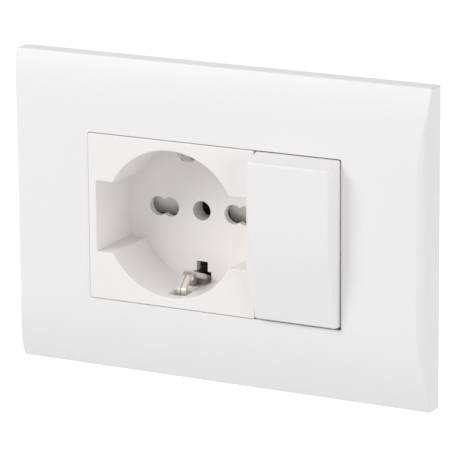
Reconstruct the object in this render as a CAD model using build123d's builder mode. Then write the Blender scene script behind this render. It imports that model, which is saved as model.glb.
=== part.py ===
"""Flush wall combination: a two-module grounded socket and a one-module rocker switch.

Millimetres. The origin is on the wall, midway between the two box screws. +X is to the right of someone
who faces the wall, +Y goes into the wall and +Z is up. A height t is a distance in front of the wall,
so it is -Y, and a negative t is inside the wall box.
"""

from build123d import *
from math import cos, radians, sin, tan
import os

# Modules
MODULE_PITCH = 24.6
MODULE_COUNT = 3
SOCKET_MODULE_COUNT = 2
SEAM = 0.2

# Cover plate
PLATE_W = 121.0
PLATE_H = 84.8
PLATE_T = 8.5
PLATE_WALL = 1.9
PLATE_FLAT_HALF = 20.0
EDGE_TOP_T = 4.8
EDGE_BOTTOM_T = 4.3
END_SIDE_T = 4.0
END_INSET = 2.6
PLATE_EDGE_R = 0.6
PLATE_GAP = 0.2
OPENING_CORNER_R = 0.6
COLLAR_WALL = 1.2
NOTCH_W = 8.0
NOTCH_T = 1.2

# Snap legs of the plate
LEG_MARGIN = 8.0
LEG_W = 6.0
LEG_THICK = 1.6
LEG_CLEARANCE = 0.3
LEG_TIP_T = 0.5
CLIP_WALL = 1.4
CLIP_T = 4.0

# Mounting frame
FRAME_MARGIN_X = 4.5
FRAME_MARGIN_Z = 7.4
FRAME_T = 1.6
FRAME_RIM = 1.4
FRAME_RIM_T = 4.0
FRAME_CORNER_R = 4.0
FRAME_COLLAR_T = 6.2
BOX_SCREW_SPACING = 83.5
BOX_SLOT_W = 4.2
BOX_SLOT_H = 9.0
BOX_SCREW_D = 3.5
BOX_NECK_D = 3.1
BOX_SCREW_L = 25.0
BOX_HEAD_D = 6.4
BOX_HEAD_H = 2.0
DRIVE_SLOT_W = 0.8
DRIVE_SLOT_DEPTH = 0.9

# Snap teeth of the modules
TOOTH_W = 6.0
TOOTH_PROUD = 0.7
TOOTH_LOW_T = 1.2
TOOTH_HIGH_T = 3.2
TOOTH_CLEARANCE = 0.25

# Socket front
SOCKET_FACE_T = 8.9
SOCKET_CORNER_R = 0.5
SKIRT_WALL = 1.3
FACE_WALL = 1.6
RECESS_R = 19.75
RECESS_RIM = 2.55
RECESS_DEPTH = 17.3
RECESS_DRAFT = 1.0
RECESS_EDGE_R = 0.3
RECESS_WALL = 1.3
SIDE_NOTCH_REACH = 22.25
SIDE_NOTCH_H = 19.2
FLOOR_WALL = 2.0
GUIDE_TUBE_WALL = 0.6
GUIDE_TUBE_L = 3.3
PIN_HOLE_R = 2.65
NARROW_PIN_SPACING = 19.0
WIDE_PIN_SPACING = 26.0
PIN_REACH = 19.0

# Earth clips
STRAP_W = 4.0
STRAP_THICK = 0.8
STRAP_Z = 18.4
STRAP_CLEARANCE = 0.3
STRAP_BEND_R = 1.3
CLIP_BEND_R = 2.0
CLIP_PEAK_W = 2.6
CLIP_TAPER_T = 6.0
CLIP_PEAK_DEPTH = 9.8
CLIP_PEAK_Z = 14.9
CLIP_FOOT_DEPTH = 5.5
CLIP_FOOT_Z = 19.3
CLIP_TIP_DEPTH = 4.4
CLIP_TIP_Z = 20.3
WINDOW_W = 5.4
WINDOW_SLIM_W = 3.3
WINDOW_SLIM_Z = 13.8
WINDOW_STEP_Z = 16.5
WINDOW_OUTER_Z = 20.9
WALL_WINDOW_DEPTH = 12.5
FOOT_SLOT_NEAR = 3.0
FOOT_SLOT_FAR = 7.5

# Socket base
BASE_STEP = 0.5
BASE_REAR_WALL = 1.9
BASE_CORNER_R = 2.0
TRACK_CLEARANCE = 0.2
POCKET_CLEARANCE = 0.3

# Shutter
SHUTTER_T = 3.4
SHUTTER_TRAVEL = 6.0
ARM_INNER = 6.3
ARM_OUTER = 16.6
ARM_BOTTOM_Z = -3.2
BRIDGE_LOW_Z = 4.6
BRIDGE_HIGH_Z = 7.6
RAMP_TOP_Z = 2.95
RAMP_LIP = 0.4
EAR_OUTER = 20.8
EAR_H = 2.2
SHUTTER_SPRING_R = 1.5
SHUTTER_WIRE_D = 0.4
SHUTTER_SPRING_TURNS = 9
TRACK_TOP_Z = 14.5

# Pin contacts
CONTACT_THICK = 0.6
CONTACT_MOUTH_HALF = 3.6
CONTACT_NECK_HALF = 2.1
CONTACT_BODY_HALF = 3.0
CONTACT_MOUTH_GAP = 0.4
CONTACT_NECK_IN = 4.0
CONTACT_SWELL_IN = 8.4
CONTACT_BACK_GAP = 0.6
CONTACT_X_LOW = 6.9
CONTACT_X_HIGH = 15.7
EARTH_CONTACT_H = 5.2

# Terminals
PILLAR_W = 6.4
PILLAR_H = 7.0
PILLAR_DEPTH = 7.0
POLE_TERMINAL_X = 19.3
EARTH_TERMINAL_X = 8.0
PILLAR_LOW_Z = 7.4
WIRE_HOLE_R = 1.6
WIRE_HOLE_RISE = 2.0
TERMINAL_SCREW_R = 1.5
TERMINAL_SCREW_TIP = 0.3
TERMINAL_HEAD_R = 2.3
TERMINAL_HEAD_H = 2.0
TERMINAL_HEAD_GAP = 0.8
THREAD_CLEARANCE = 0.02
HEAD_CLEARANCE = 0.3

# Screws and tongues that hold the socket together
TONGUE_INSET = 7.0
TONGUE_W = 5.0
TONGUE_THICK = 1.4
TONGUE_REACH = 3.0
TONGUE_CLEARANCE = 0.1
CASE_SCREW_INSET = 3.9
CASE_SCREW_R = 1.45
CASE_HEAD_R = 2.5
CASE_HEAD_H = 1.6
CASE_HEAD_RECESS = 6.0
CASE_SCREW_BITE = 9.0
CASE_BOSS_R = 2.9

# Rocker key
KEY_CLEARANCE = 0.2
KEY_THROW = 11.0
PIVOT_T = 6.0
KEY_FRONT_T = 8.19
KEY_EDGE_STEP = 1.11
KEY_REAR_STEP = 0.1
KEY_REAR_T = 0.25
KEY_SIDE_TAPER = 0.55
KEY_APEX_R = 52.0
KEY_EDGE_R = 0.6
KEY_WALL = 1.3

# Rocker carrier
CARRIER_LOW_T = 3.1
CARRIER_THICK = 1.4
CARRIER_HALF_X = 8.9
CARRIER_HALF_Z = 11.0
CHEEK_THICK = 1.3
CHEEK_R = 2.4
TRUNNION_R = 1.2
TRUNNION_CLEARANCE = 0.05
EAR_GAP = 0.2
EAR_THICK = 1.4
EAR_R = 2.8
TUBE_R = 2.9
TUBE_BORE_R = 2.0
TUBE_END_T = -8.0
TUBE_ROOF_T = 2.6
POST_Z = 7.0
POST_THICK = 2.0
POST_W = 12.0

# Plunger
PLUNGER_R = 1.95
PLUNGER_BACK_T = -3.4
PLUNGER_SHOULDER_T = -11.6
PLUNGER_TIP_R = 1.2
PLUNGER_TIP_CENTRE_T = -13.3
PLUNGER_TRAVEL = 0.6
PLUNGER_SPRING_R = 1.4
PLUNGER_WIRE_D = 0.4
PLUNGER_SPRING_TURNS = 5

# See-saw contact
SEESAW_TILT = 6.0
KNIFE_T = -9.6
SEESAW_OUTER = 1.0
SEESAW_THICK = 0.8
SEESAW_W = 5.2
SEESAW_HALF = 10.4
RIVET_Z = 8.6
RIVET_R = 1.5
RIVET_H = 0.6
RIVET_SHANK_R = 0.9
RIVET_TAIL_R = 1.3
RIVET_TAIL_H = 0.4
CONTACT_GAP = 0.06
KNIFE_R = 0.4
KNIFE_BELOW = 0.25

# Switch housing
SWITCH_SPLIT_T = -1.0
TRAY_FLOOR = 1.6
TRAY_RIM_T = 3.4
TRAY_RIM = 1.0
TRAY_SLOT_X = 3.6
TRAY_SLOT_Z = 4.4
SWITCH_REAR_WALL = 1.8
CHAMBER_HALF_X = 9.6
CHAMBER_HALF_Z = 19.2
STRIP_W = 6.0
STRIP_THICK = 0.8
SWITCH_PILLAR_Z = 10.6
SWITCH_PILLAR_FRONT_T = -12.4
STOP_Z = 7.6
STOP_THICK = 1.6
STOP_W = 2.6
STOP_GAP = 0.1

# Places that follow from the sizes above
FRONT_H = 2 * (RECESS_R + RECESS_RIM)
GROUP_W = MODULE_COUNT * MODULE_PITCH - SEAM
OPENING_W = GROUP_W + 2 * PLATE_GAP
OPENING_H = FRONT_H + 2 * PLATE_GAP
SOCKET_W = SOCKET_MODULE_COUNT * MODULE_PITCH - SEAM
SOCKET_X = (SOCKET_W - GROUP_W) / 2
SWITCH_W = MODULE_PITCH - SEAM
SWITCH_X = (GROUP_W - SWITCH_W) / 2
MODULE_X = [(i - (MODULE_COUNT - 1) / 2) * MODULE_PITCH for i in range(MODULE_COUNT)]
FRAME_W = PLATE_W - 2 * FRAME_MARGIN_X
FRAME_H = PLATE_H - 2 * FRAME_MARGIN_Z
LEG_X = FRAME_W / 2 - LEG_MARGIN
LEG_Z = FRAME_H / 2 - LEG_MARGIN
COLLAR_T = FRAME_COLLAR_T + LEG_CLEARANCE
FLOOR_T = SOCKET_FACE_T - RECESS_DEPTH
SPLIT_T = FLOOR_T - FLOOR_WALL
BASE_W = SOCKET_W - 2 * BASE_STEP
BASE_H = FRONT_H - 2 * BASE_STEP
SHUTTER_FRONT_T = SPLIT_T - TRACK_CLEARANCE
SHUTTER_BACK_T = SHUTTER_FRONT_T - SHUTTER_T
TRACK_T = SHUTTER_BACK_T - TRACK_CLEARANCE
CONTACT_MOUTH_T = TRACK_T - CONTACT_MOUTH_GAP
CONTACT_BACK_T = FLOOR_T - PIN_REACH - CONTACT_BACK_GAP
CONTACT_REAR_T = CONTACT_BACK_T - CONTACT_THICK
STRAP_BACK_T = CONTACT_REAR_T - STRAP_THICK
BASE_REAR_T = STRAP_BACK_T - BASE_REAR_WALL
SWITCH_REAR_T = SWITCH_PILLAR_FRONT_T - PILLAR_DEPTH - STRIP_THICK - SWITCH_REAR_WALL
CHAMBER_T = SWITCH_REAR_T + SWITCH_REAR_WALL
SPRING_X = (ARM_OUTER + EAR_OUTER) / 2
CASE_SCREW_X = SOCKET_W / 2 - CASE_SCREW_INSET
CASE_SCREW_Z = FRONT_H / 2 - CASE_SCREW_INSET
CASE_SCREW_PLACES = [(-CASE_SCREW_X, -CASE_SCREW_Z), (CASE_SCREW_X, -CASE_SCREW_Z)]
TONGUE_X = SOCKET_W / 2 - TONGUE_INSET
KEY_EDGE_HALF = FRONT_H / 2 - KEY_EDGE_STEP
KEY_REAR_HALF = FRONT_H / 2 + KEY_REAR_STEP
WIRE_HOLE_Z = PILLAR_LOW_Z + WIRE_HOLE_RISE


def front(t, x=0.0, z=0.0):
    """The plane parallel to the wall at height t, with its x along X and its y along Z."""
    return Plane(origin=(x, -t, z), x_dir=(1, 0, 0), z_dir=(0, -1, 0))


def side(x):
    """The upright plane at x that shows a section, with its x along the height t and its y along Z."""
    return Plane(origin=(x, 0, 0), x_dir=(0, -1, 0), z_dir=(-1, 0, 0))


def plan(z, x=0.0):
    """The level plane at z, with its x along X and its y along the height t."""
    return Plane(origin=(x, 0, z), x_dir=(1, 0, 0), z_dir=(0, 0, -1))


def tilted(t, degrees, x, rise=0.0):
    """The plane through a pivot along X at height t, turned so that its top leans out, then raised."""
    lean = radians(degrees)
    normal = Vector(0, -cos(lean), -sin(lean))
    return Plane(origin=Vector(x, -t, 0) + normal * rise, x_dir=(1, 0, 0), z_dir=normal)


def tilted_side(t, degrees, x):
    """The section plane of a tilted piece: its x is the piece's own height and its y the piece's length."""
    lean = radians(degrees)
    return Plane(origin=(x, -t, 0), x_dir=(0, -cos(lean), -sin(lean)), z_dir=(-1, 0, 0))


def tilted_plan(t, degrees, x):
    """The cross section plane of a tilted piece: its x is X and its y the piece's own height."""
    lean = radians(degrees)
    return Plane(origin=(x, -t, 0), x_dir=(1, 0, 0), z_dir=(0, sin(lean), -cos(lean)))


def finish(builder, name):
    """Labels a finished piece and writes it."""
    builder.part.label = name
    export_step(builder.part, f"parts/{name}.step")


def plate_form(inset):
    """The plate's outer form, or the same form drawn in by a wall: a side profile cut by a plan profile."""
    half_w, half_h = PLATE_W / 2 - inset, PLATE_H / 2 - inset
    with BuildPart() as form:
        with BuildSketch(side(0)):
            with BuildLine():
                Polyline((0, half_h), (0, -half_h), (EDGE_BOTTOM_T - inset, -half_h))
                TangentArc(
                    (PLATE_T - inset, -PLATE_FLAT_HALF),
                    (EDGE_BOTTOM_T - inset, -half_h),
                    tangent=(0, -1),
                )
                Line((PLATE_T - inset, -PLATE_FLAT_HALF), (PLATE_T - inset, PLATE_FLAT_HALF))
                TangentArc(
                    (PLATE_T - inset, PLATE_FLAT_HALF),
                    (EDGE_TOP_T - inset, half_h),
                    tangent=(0, 1),
                )
                Line((EDGE_TOP_T - inset, half_h), (0, half_h))
            make_face()
        extrude(amount=PLATE_W, both=True)
        with BuildSketch(plan(0)):
            with BuildLine():
                low, high = END_SIDE_T - inset, PLATE_T - inset
                shoulder = half_w - END_INSET
                Line((half_w, 0), (half_w, low))
                TangentArc((half_w, low), (shoulder, high), tangent=(0, 1))
                Line((shoulder, high), (-shoulder, high))
                TangentArc((-half_w, low), (-shoulder, high), tangent=(0, 1))
                Polyline((-half_w, low), (-half_w, 0), (half_w, 0))
            make_face()
        extrude(amount=PLATE_H, both=True, mode=Mode.INTERSECT)
    return form.part


def make_cover_plate():
    """The cover plate: a shell with a collar round its opening, four snap legs and a release notch."""
    outer, inner = plate_form(0), plate_form(PLATE_WALL)
    with BuildPart() as cover_plate:
        add(outer)
        off_wall = cover_plate.edges().filter_by_position(Axis.Y, -2 * PLATE_T, -PLATE_EDGE_R)
        fillet(off_wall.sort_by(Axis.Z), PLATE_EDGE_R)
        add(inner, mode=Mode.SUBTRACT)
        with BuildSketch(front(COLLAR_T)):
            Rectangle(OPENING_W + 2 * COLLAR_WALL, OPENING_H + 2 * COLLAR_WALL)
        extrude(amount=PLATE_T - PLATE_WALL - COLLAR_T)
        with BuildSketch(front(LEG_TIP_T)):
            with GridLocations(2 * LEG_X, 2 * LEG_Z, 2, 2):
                Rectangle(LEG_W, LEG_THICK)
        extrude(until=Until.NEXT)
        with BuildSketch(front(0)):
            RectangleRounded(OPENING_W, OPENING_H, OPENING_CORNER_R)
        extrude(amount=PLATE_T + PLATE_WALL, mode=Mode.SUBTRACT)
        with BuildSketch(front(0, z=-PLATE_H / 2)):
            Rectangle(NOTCH_W, 2 * PLATE_WALL + LEG_CLEARANCE)
        extrude(amount=NOTCH_T, mode=Mode.SUBTRACT)
    return cover_plate


def make_mounting_frame():
    """The support frame: a rimmed flange with a collar, tooth windows, screw slots and leg clips."""
    collar_w, collar_h = OPENING_W + 2 * COLLAR_WALL, OPENING_H + 2 * COLLAR_WALL
    slot_w, slot_h = LEG_W + 2 * LEG_CLEARANCE, LEG_THICK + 2 * LEG_CLEARANCE
    with BuildPart() as mounting_frame:
        with BuildSketch(front(0)):
            RectangleRounded(FRAME_W, FRAME_H, FRAME_CORNER_R)
        extrude(amount=FRAME_T)
        with BuildSketch(front(0)):
            RectangleRounded(FRAME_W, FRAME_H, FRAME_CORNER_R)
            inner_r = FRAME_CORNER_R - FRAME_RIM
            RectangleRounded(FRAME_W - 2 * FRAME_RIM, FRAME_H - 2 * FRAME_RIM, inner_r, mode=Mode.SUBTRACT)
        extrude(amount=FRAME_RIM_T)
        with BuildSketch(front(0)):
            with GridLocations(2 * LEG_X, 2 * LEG_Z, 2, 2):
                Rectangle(slot_w + 2 * CLIP_WALL, slot_h + 2 * CLIP_WALL)
        extrude(amount=CLIP_T)
        with BuildSketch(front(0)):
            RectangleRounded(collar_w, collar_h, OPENING_CORNER_R + COLLAR_WALL)
        extrude(amount=FRAME_COLLAR_T)
        with BuildSketch(front(0)):
            RectangleRounded(OPENING_W, OPENING_H, OPENING_CORNER_R)
            with GridLocations(2 * LEG_X, 2 * LEG_Z, 2, 2):
                Rectangle(slot_w, slot_h)
            with GridLocations(BOX_SCREW_SPACING, 0, 2, 1):
                SlotOverall(BOX_SLOT_H, BOX_SLOT_W, rotation=90)
        extrude(amount=FRAME_COLLAR_T, mode=Mode.SUBTRACT)
        with BuildSketch(front(TOOTH_LOW_T - TOOTH_CLEARANCE)):
            with Locations(*[(x, 0) for x in MODULE_X]):
                Rectangle(TOOTH_W + 2 * TOOTH_CLEARANCE, collar_h)
        extrude(amount=TOOTH_HIGH_T - TOOTH_LOW_T + 2 * TOOTH_CLEARANCE, mode=Mode.SUBTRACT)
    return mounting_frame


def make_box_screws():
    """The two screws that go through the frame's slots into the wall box."""
    with BuildPart() as box_screws:
        with BuildSketch(front(0)):
            with GridLocations(BOX_SCREW_SPACING, 0, 2, 1):
                Circle(BOX_SCREW_D / 2)
        extrude(amount=FRAME_T - BOX_SCREW_L)
        with BuildSketch(front(0)):
            with GridLocations(BOX_SCREW_SPACING, 0, 2, 1):
                Circle(BOX_NECK_D / 2)
        extrude(amount=FRAME_T)
        with BuildSketch(front(FRAME_T)):
            with GridLocations(BOX_SCREW_SPACING, 0, 2, 1):
                Circle(BOX_HEAD_D / 2)
        extrude(amount=BOX_HEAD_H)
        crown = box_screws.edges().filter_by(GeomType.CIRCLE).group_by(Axis.Y)[0]
        fillet(crown, BOX_HEAD_H / 3)
        with BuildSketch(front(FRAME_T + BOX_HEAD_H)):
            with GridLocations(BOX_SCREW_SPACING, 0, 2, 1):
                Rectangle(BOX_HEAD_D, DRIVE_SLOT_W, rotation=35)
        extrude(amount=-DRIVE_SLOT_DEPTH, mode=Mode.SUBTRACT)
    return box_screws


def recess_outline(grow=0.0):
    """Draws the recess's outline into the open sketch: a circle crossed by the side notches' band."""
    Circle(RECESS_R + grow)
    Rectangle(2 * (SIDE_NOTCH_REACH + grow), SIDE_NOTCH_H + 2 * grow)


def tooth_outline(face_half, way):
    """The section (t, z) of a wedge tooth that snaps into the frame, on the top face or the bottom one."""
    mid = (TOOTH_LOW_T + TOOTH_HIGH_T) / 2
    return [
        (TOOTH_LOW_T, way * (face_half - TOOTH_PROUD)),
        (TOOTH_LOW_T, way * face_half),
        (mid, way * (face_half + TOOTH_PROUD)),
        (TOOTH_HIGH_T, way * (face_half + TOOTH_PROUD)),
        (TOOTH_HIGH_T, way * (face_half - TOOTH_PROUD)),
    ]


def make_socket_front():
    """The socket's front: face, skirt and a thin-walled recess with pin holes and clip windows."""
    with BuildPart() as socket_front:
        with BuildSketch(front(SPLIT_T, SOCKET_X)):
            RectangleRounded(SOCKET_W, FRONT_H, SOCKET_CORNER_R)
        extrude(amount=SOCKET_FACE_T - SPLIT_T)
        with BuildSketch(front(SPLIT_T, SOCKET_X)):
            Rectangle(SOCKET_W - 2 * SKIRT_WALL, FRONT_H - 2 * SKIRT_WALL)
            Circle(RECESS_R + RECESS_WALL, mode=Mode.SUBTRACT)
            notch_w = 2 * (SIDE_NOTCH_REACH + RECESS_WALL)
            Rectangle(notch_w, SIDE_NOTCH_H + 2 * RECESS_WALL, mode=Mode.SUBTRACT)
            with Locations(*CASE_SCREW_PLACES):
                Circle(CASE_BOSS_R, mode=Mode.SUBTRACT)
        extrude(amount=SOCKET_FACE_T - FACE_WALL - SPLIT_T, mode=Mode.SUBTRACT)
        with BuildSketch(front(SOCKET_FACE_T, SOCKET_X)):
            recess_outline()
        extrude(amount=-RECESS_DEPTH, taper=RECESS_DRAFT, mode=Mode.SUBTRACT)
        face_edges = socket_front.faces().sort_by(Axis.Y)[0].edges()
        fillet(face_edges, RECESS_EDGE_R)
        with BuildSketch(front(FLOOR_T, SOCKET_X)):
            Circle(PIN_HOLE_R)
            for spacing in (NARROW_PIN_SPACING, WIDE_PIN_SPACING):
                with GridLocations(spacing, 0, 2, 1):
                    Circle(PIN_HOLE_R)
            for way in (1, -1):
                with Locations((0, way * (WINDOW_SLIM_Z + WINDOW_STEP_Z) / 2)):
                    Rectangle(WINDOW_SLIM_W, WINDOW_STEP_Z - WINDOW_SLIM_Z)
                with Locations((0, way * (WINDOW_STEP_Z + WINDOW_OUTER_Z) / 2)):
                    Rectangle(WINDOW_W, WINDOW_OUTER_Z - WINDOW_STEP_Z)
        extrude(amount=-FLOOR_WALL, mode=Mode.SUBTRACT)
        with BuildSketch(front(SPLIT_T, SOCKET_X)):
            Circle(PIN_HOLE_R + GUIDE_TUBE_WALL)
            Circle(PIN_HOLE_R, mode=Mode.SUBTRACT)
        extrude(amount=-GUIDE_TUBE_L)
        wall_window_mid = (WINDOW_STEP_Z + WINDOW_OUTER_Z) / 2
        for near, far in ((FOOT_SLOT_NEAR, FOOT_SLOT_FAR), (WALL_WINDOW_DEPTH, RECESS_DEPTH)):
            with BuildSketch(front(SOCKET_FACE_T - near, SOCKET_X)):
                with Locations((0, wall_window_mid), (0, -wall_window_mid)):
                    Rectangle(WINDOW_W, WINDOW_OUTER_Z - WINDOW_STEP_Z)
            extrude(amount=near - far, mode=Mode.SUBTRACT)
        with BuildSketch(front(SPLIT_T, SOCKET_X)):
            with Locations(*CASE_SCREW_PLACES):
                Circle(CASE_SCREW_R + THREAD_CLEARANCE)
        extrude(amount=CASE_SCREW_BITE + HEAD_CLEARANCE, mode=Mode.SUBTRACT)
        for x in MODULE_X[:SOCKET_MODULE_COUNT]:
            with BuildSketch(side(x)):
                for way in (1, -1):
                    with BuildLine():
                        Polyline(*tooth_outline(FRONT_H / 2, way), close=True)
                    make_face()
            extrude(amount=TOOTH_W / 2, both=True)
    return socket_front


def pocket(t_low, x_low, x_high, z_low, z_high):
    """Cuts a pocket into the open socket base, from its front down to a height."""
    with Locations((SOCKET_X + (x_low + x_high) / 2, -SPLIT_T, (z_low + z_high) / 2)):
        Box(
            x_high - x_low,
            SPLIT_T - t_low,
            z_high - z_low,
            align=(Align.CENTER, Align.MIN, Align.CENTER),
            mode=Mode.SUBTRACT,
        )


def make_socket_base():
    """The socket's rear housing, with the shutter's track, the contact chambers and the wire holes."""
    gap = POCKET_CLEARANCE
    pillar_half = PILLAR_W / 2 + gap
    pillar_xs = (-POLE_TERMINAL_X, EARTH_TERMINAL_X, POLE_TERMINAL_X)
    screw_t = CONTACT_BACK_T + PILLAR_DEPTH / 2
    with BuildPart() as socket_base:
        with BuildSketch(front(BASE_REAR_T, SOCKET_X)):
            Rectangle(BASE_W, BASE_H)
        extrude(amount=SPLIT_T - BASE_REAR_T)
        fillet(socket_base.faces().sort_by(Axis.Y)[-1].edges(), BASE_CORNER_R)
        track_reach = EAR_OUTER + gap
        pocket(TRACK_T, -track_reach, track_reach, ARM_BOTTOM_Z - gap, TRACK_TOP_Z)
        chamber_z = CONTACT_MOUTH_HALF + CONTACT_THICK / 2 + gap
        leaf_low, leaf_high = CONTACT_X_LOW - gap, CONTACT_X_HIGH + gap
        pocket(CONTACT_REAR_T, leaf_low, leaf_high, -chamber_z, chamber_z)
        pocket(CONTACT_REAR_T, -leaf_high, -leaf_low, -chamber_z, chamber_z)
        tab_z = CONTACT_BODY_HALF + CONTACT_THICK / 2 + gap
        pole_low, pole_high = POLE_TERMINAL_X - pillar_half, POLE_TERMINAL_X + pillar_half
        pocket(CONTACT_REAR_T, pole_low, pole_high, -tab_z, TRACK_TOP_Z)
        pocket(CONTACT_REAR_T, -pole_high, -pole_low, -tab_z, TRACK_TOP_Z)
        earth_h = EARTH_CONTACT_H / 2 + gap
        pocket(CONTACT_REAR_T, -chamber_z, chamber_z, -earth_h, earth_h)
        pocket(CONTACT_REAR_T, -tab_z, tab_z, 0, TRACK_TOP_Z)
        earth_high = EARTH_TERMINAL_X + pillar_half
        pocket(CONTACT_REAR_T, 0, earth_high, PILLAR_LOW_Z - gap, TRACK_TOP_Z)
        strap_half_x = STRAP_W / 2 + gap
        strap_half_z = STRAP_Z + STRAP_THICK / 2 + gap
        pocket(STRAP_BACK_T, -strap_half_x, strap_half_x, -strap_half_z, strap_half_z)
        with BuildSketch(front(BASE_REAR_T, SOCKET_X)):
            with Locations(*[(x, WIRE_HOLE_Z) for x in pillar_xs]):
                Circle(WIRE_HOLE_R)
        extrude(amount=CONTACT_REAR_T - BASE_REAR_T, mode=Mode.SUBTRACT)
        with BuildSketch(plan(BASE_H / 2, SOCKET_X)):
            with Locations(*[(x, screw_t) for x in pillar_xs]):
                Circle(TERMINAL_HEAD_R + HEAD_CLEARANCE)
        extrude(amount=BASE_H / 2 - TRACK_TOP_Z, mode=Mode.SUBTRACT)
        with BuildSketch(front(BASE_REAR_T, SOCKET_X)):
            with Locations(*CASE_SCREW_PLACES):
                Circle(CASE_HEAD_R + HEAD_CLEARANCE)
        extrude(amount=CASE_HEAD_RECESS, mode=Mode.SUBTRACT)
        with BuildSketch(front(BASE_REAR_T, SOCKET_X)):
            with Locations(*CASE_SCREW_PLACES):
                Circle(CASE_SCREW_R + HEAD_CLEARANCE)
        extrude(amount=SPLIT_T - BASE_REAR_T, mode=Mode.SUBTRACT)
        tongue_top = FRONT_H / 2 - SKIRT_WALL - TONGUE_CLEARANCE
        with BuildSketch(front(SPLIT_T, SOCKET_X, tongue_top - TONGUE_THICK / 2)):
            with GridLocations(2 * TONGUE_X, 0, 2, 1):
                Rectangle(TONGUE_W, TONGUE_THICK)
        extrude(amount=TONGUE_REACH)
    return socket_base


def make_housing_screws():
    """The two screws that hold the socket's base to its front, heads sunk in the base's rear."""
    head_t = BASE_REAR_T + CASE_HEAD_RECESS
    with BuildPart() as housing_screws:
        for radius, low, high in (
            (CASE_HEAD_R, head_t - CASE_HEAD_H, head_t),
            (CASE_SCREW_R, head_t, SPLIT_T + CASE_SCREW_BITE),
        ):
            with BuildSketch(front(low, SOCKET_X)):
                with Locations(*CASE_SCREW_PLACES):
                    Circle(radius)
            extrude(amount=high - low)
        with BuildSketch(front(head_t - CASE_HEAD_H, SOCKET_X)):
            with Locations(*CASE_SCREW_PLACES):
                Rectangle(2 * CASE_HEAD_R, DRIVE_SLOT_W)
        extrude(amount=DRIVE_SLOT_DEPTH, mode=Mode.SUBTRACT)
    return housing_screws


def make_shutter():
    """The shutter: two ramped arms behind the pin holes, a bridge over the earth hole, two spring ears."""
    with BuildPart() as shutter:
        for way in (1, -1):
            mid, width = way * (ARM_INNER + ARM_OUTER) / 2, ARM_OUTER - ARM_INNER
            with BuildSketch(side(SOCKET_X + mid)):
                with BuildLine():
                    Polyline(
                        (SHUTTER_BACK_T, ARM_BOTTOM_Z),
                        (SHUTTER_BACK_T + RAMP_LIP, ARM_BOTTOM_Z),
                        (SHUTTER_FRONT_T, RAMP_TOP_Z),
                        (SHUTTER_FRONT_T, BRIDGE_HIGH_Z),
                        (SHUTTER_BACK_T, BRIDGE_HIGH_Z),
                        close=True,
                    )
                make_face()
            extrude(amount=width / 2, both=True)
            ear_x = SOCKET_X + way * SPRING_X
            with BuildSketch(front(SHUTTER_BACK_T, ear_x, ARM_BOTTOM_Z + EAR_H / 2)):
                Rectangle(EAR_OUTER - ARM_OUTER, EAR_H)
            extrude(amount=SHUTTER_T)
        with BuildSketch(front(SHUTTER_BACK_T, SOCKET_X, (BRIDGE_LOW_Z + BRIDGE_HIGH_Z) / 2)):
            Rectangle(2 * ARM_INNER, BRIDGE_HIGH_Z - BRIDGE_LOW_Z)
        extrude(amount=SHUTTER_T)
    return shutter


def coil(plane, length, radius, wire_d, turns):
    """A helical spring that stands on a plane and is as long as its seat allows."""
    rise = length - wire_d
    start = plane.offset(wire_d / 2)
    with BuildPart() as spring:
        with BuildLine() as centre_line:
            Helix(rise / turns, rise, radius, center=start.origin, direction=start.z_dir)
        path = centre_line.edges()[0]
        with BuildSketch(Plane(origin=path @ 0, z_dir=path % 0)):
            Circle(wire_d / 2)
        sweep(path=path, is_frenet=True)
    return spring.part


def make_shutter_springs():
    """The two springs that push the shutter down over the pin holes."""
    low = ARM_BOTTOM_Z + EAR_H
    mid_t = (SHUTTER_FRONT_T + SHUTTER_BACK_T) / 2
    springs = []
    for way in (1, -1):
        seat = Plane(origin=(SOCKET_X + way * SPRING_X, -mid_t, low), z_dir=(0, 0, 1))
        springs.append(
            coil(seat, TRACK_TOP_Z - low, SHUTTER_SPRING_R, SHUTTER_WIRE_D, SHUTTER_SPRING_TURNS)
        )
    with BuildPart() as shutter_springs:
        add(springs)
    return shutter_springs


def clip_section():
    """The centre line of a spring contact, from the mouth of one leaf round the back to the other."""
    back = CONTACT_BACK_T - CONTACT_THICK / 2
    leaf = [
        (CONTACT_MOUTH_T, CONTACT_MOUTH_HALF),
        (CONTACT_MOUTH_T - CONTACT_NECK_IN, CONTACT_NECK_HALF),
        (CONTACT_MOUTH_T - CONTACT_SWELL_IN, CONTACT_BODY_HALF),
        (back, CONTACT_BODY_HALF),
    ]
    return leaf + [(t, -half) for t, half in reversed(leaf)]


def make_pole_contact(way):
    """A live or neutral contact: two sprung leaves for both pin spacings, with a tab to its terminal."""
    mid = SOCKET_X + way * (CONTACT_X_LOW + CONTACT_X_HIGH) / 2
    tab_high = POLE_TERMINAL_X + PILLAR_W / 2
    tab_low = POLE_TERMINAL_X - PILLAR_W / 2
    half = CONTACT_BODY_HALF + CONTACT_THICK / 2
    pillar_top = PILLAR_LOW_Z + PILLAR_H
    with BuildPart() as contact:
        with BuildSketch(side(mid)):
            with BuildLine():
                Polyline(*clip_section())
            trace(line_width=CONTACT_THICK)
        extrude(amount=(CONTACT_X_HIGH - CONTACT_X_LOW) / 2, both=True)
        with BuildSketch(front(CONTACT_BACK_T, SOCKET_X)):
            with Locations((way * (CONTACT_X_LOW + tab_high) / 2, 0)):
                Rectangle(tab_high - CONTACT_X_LOW, 2 * half)
            with Locations((way * (tab_low + tab_high) / 2, (pillar_top - half) / 2)):
                Rectangle(tab_high - tab_low, pillar_top + half)
            with Locations((way * POLE_TERMINAL_X, WIRE_HOLE_Z)):
                Circle(WIRE_HOLE_R, mode=Mode.SUBTRACT)
        extrude(amount=-CONTACT_THICK)
    return contact


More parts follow.
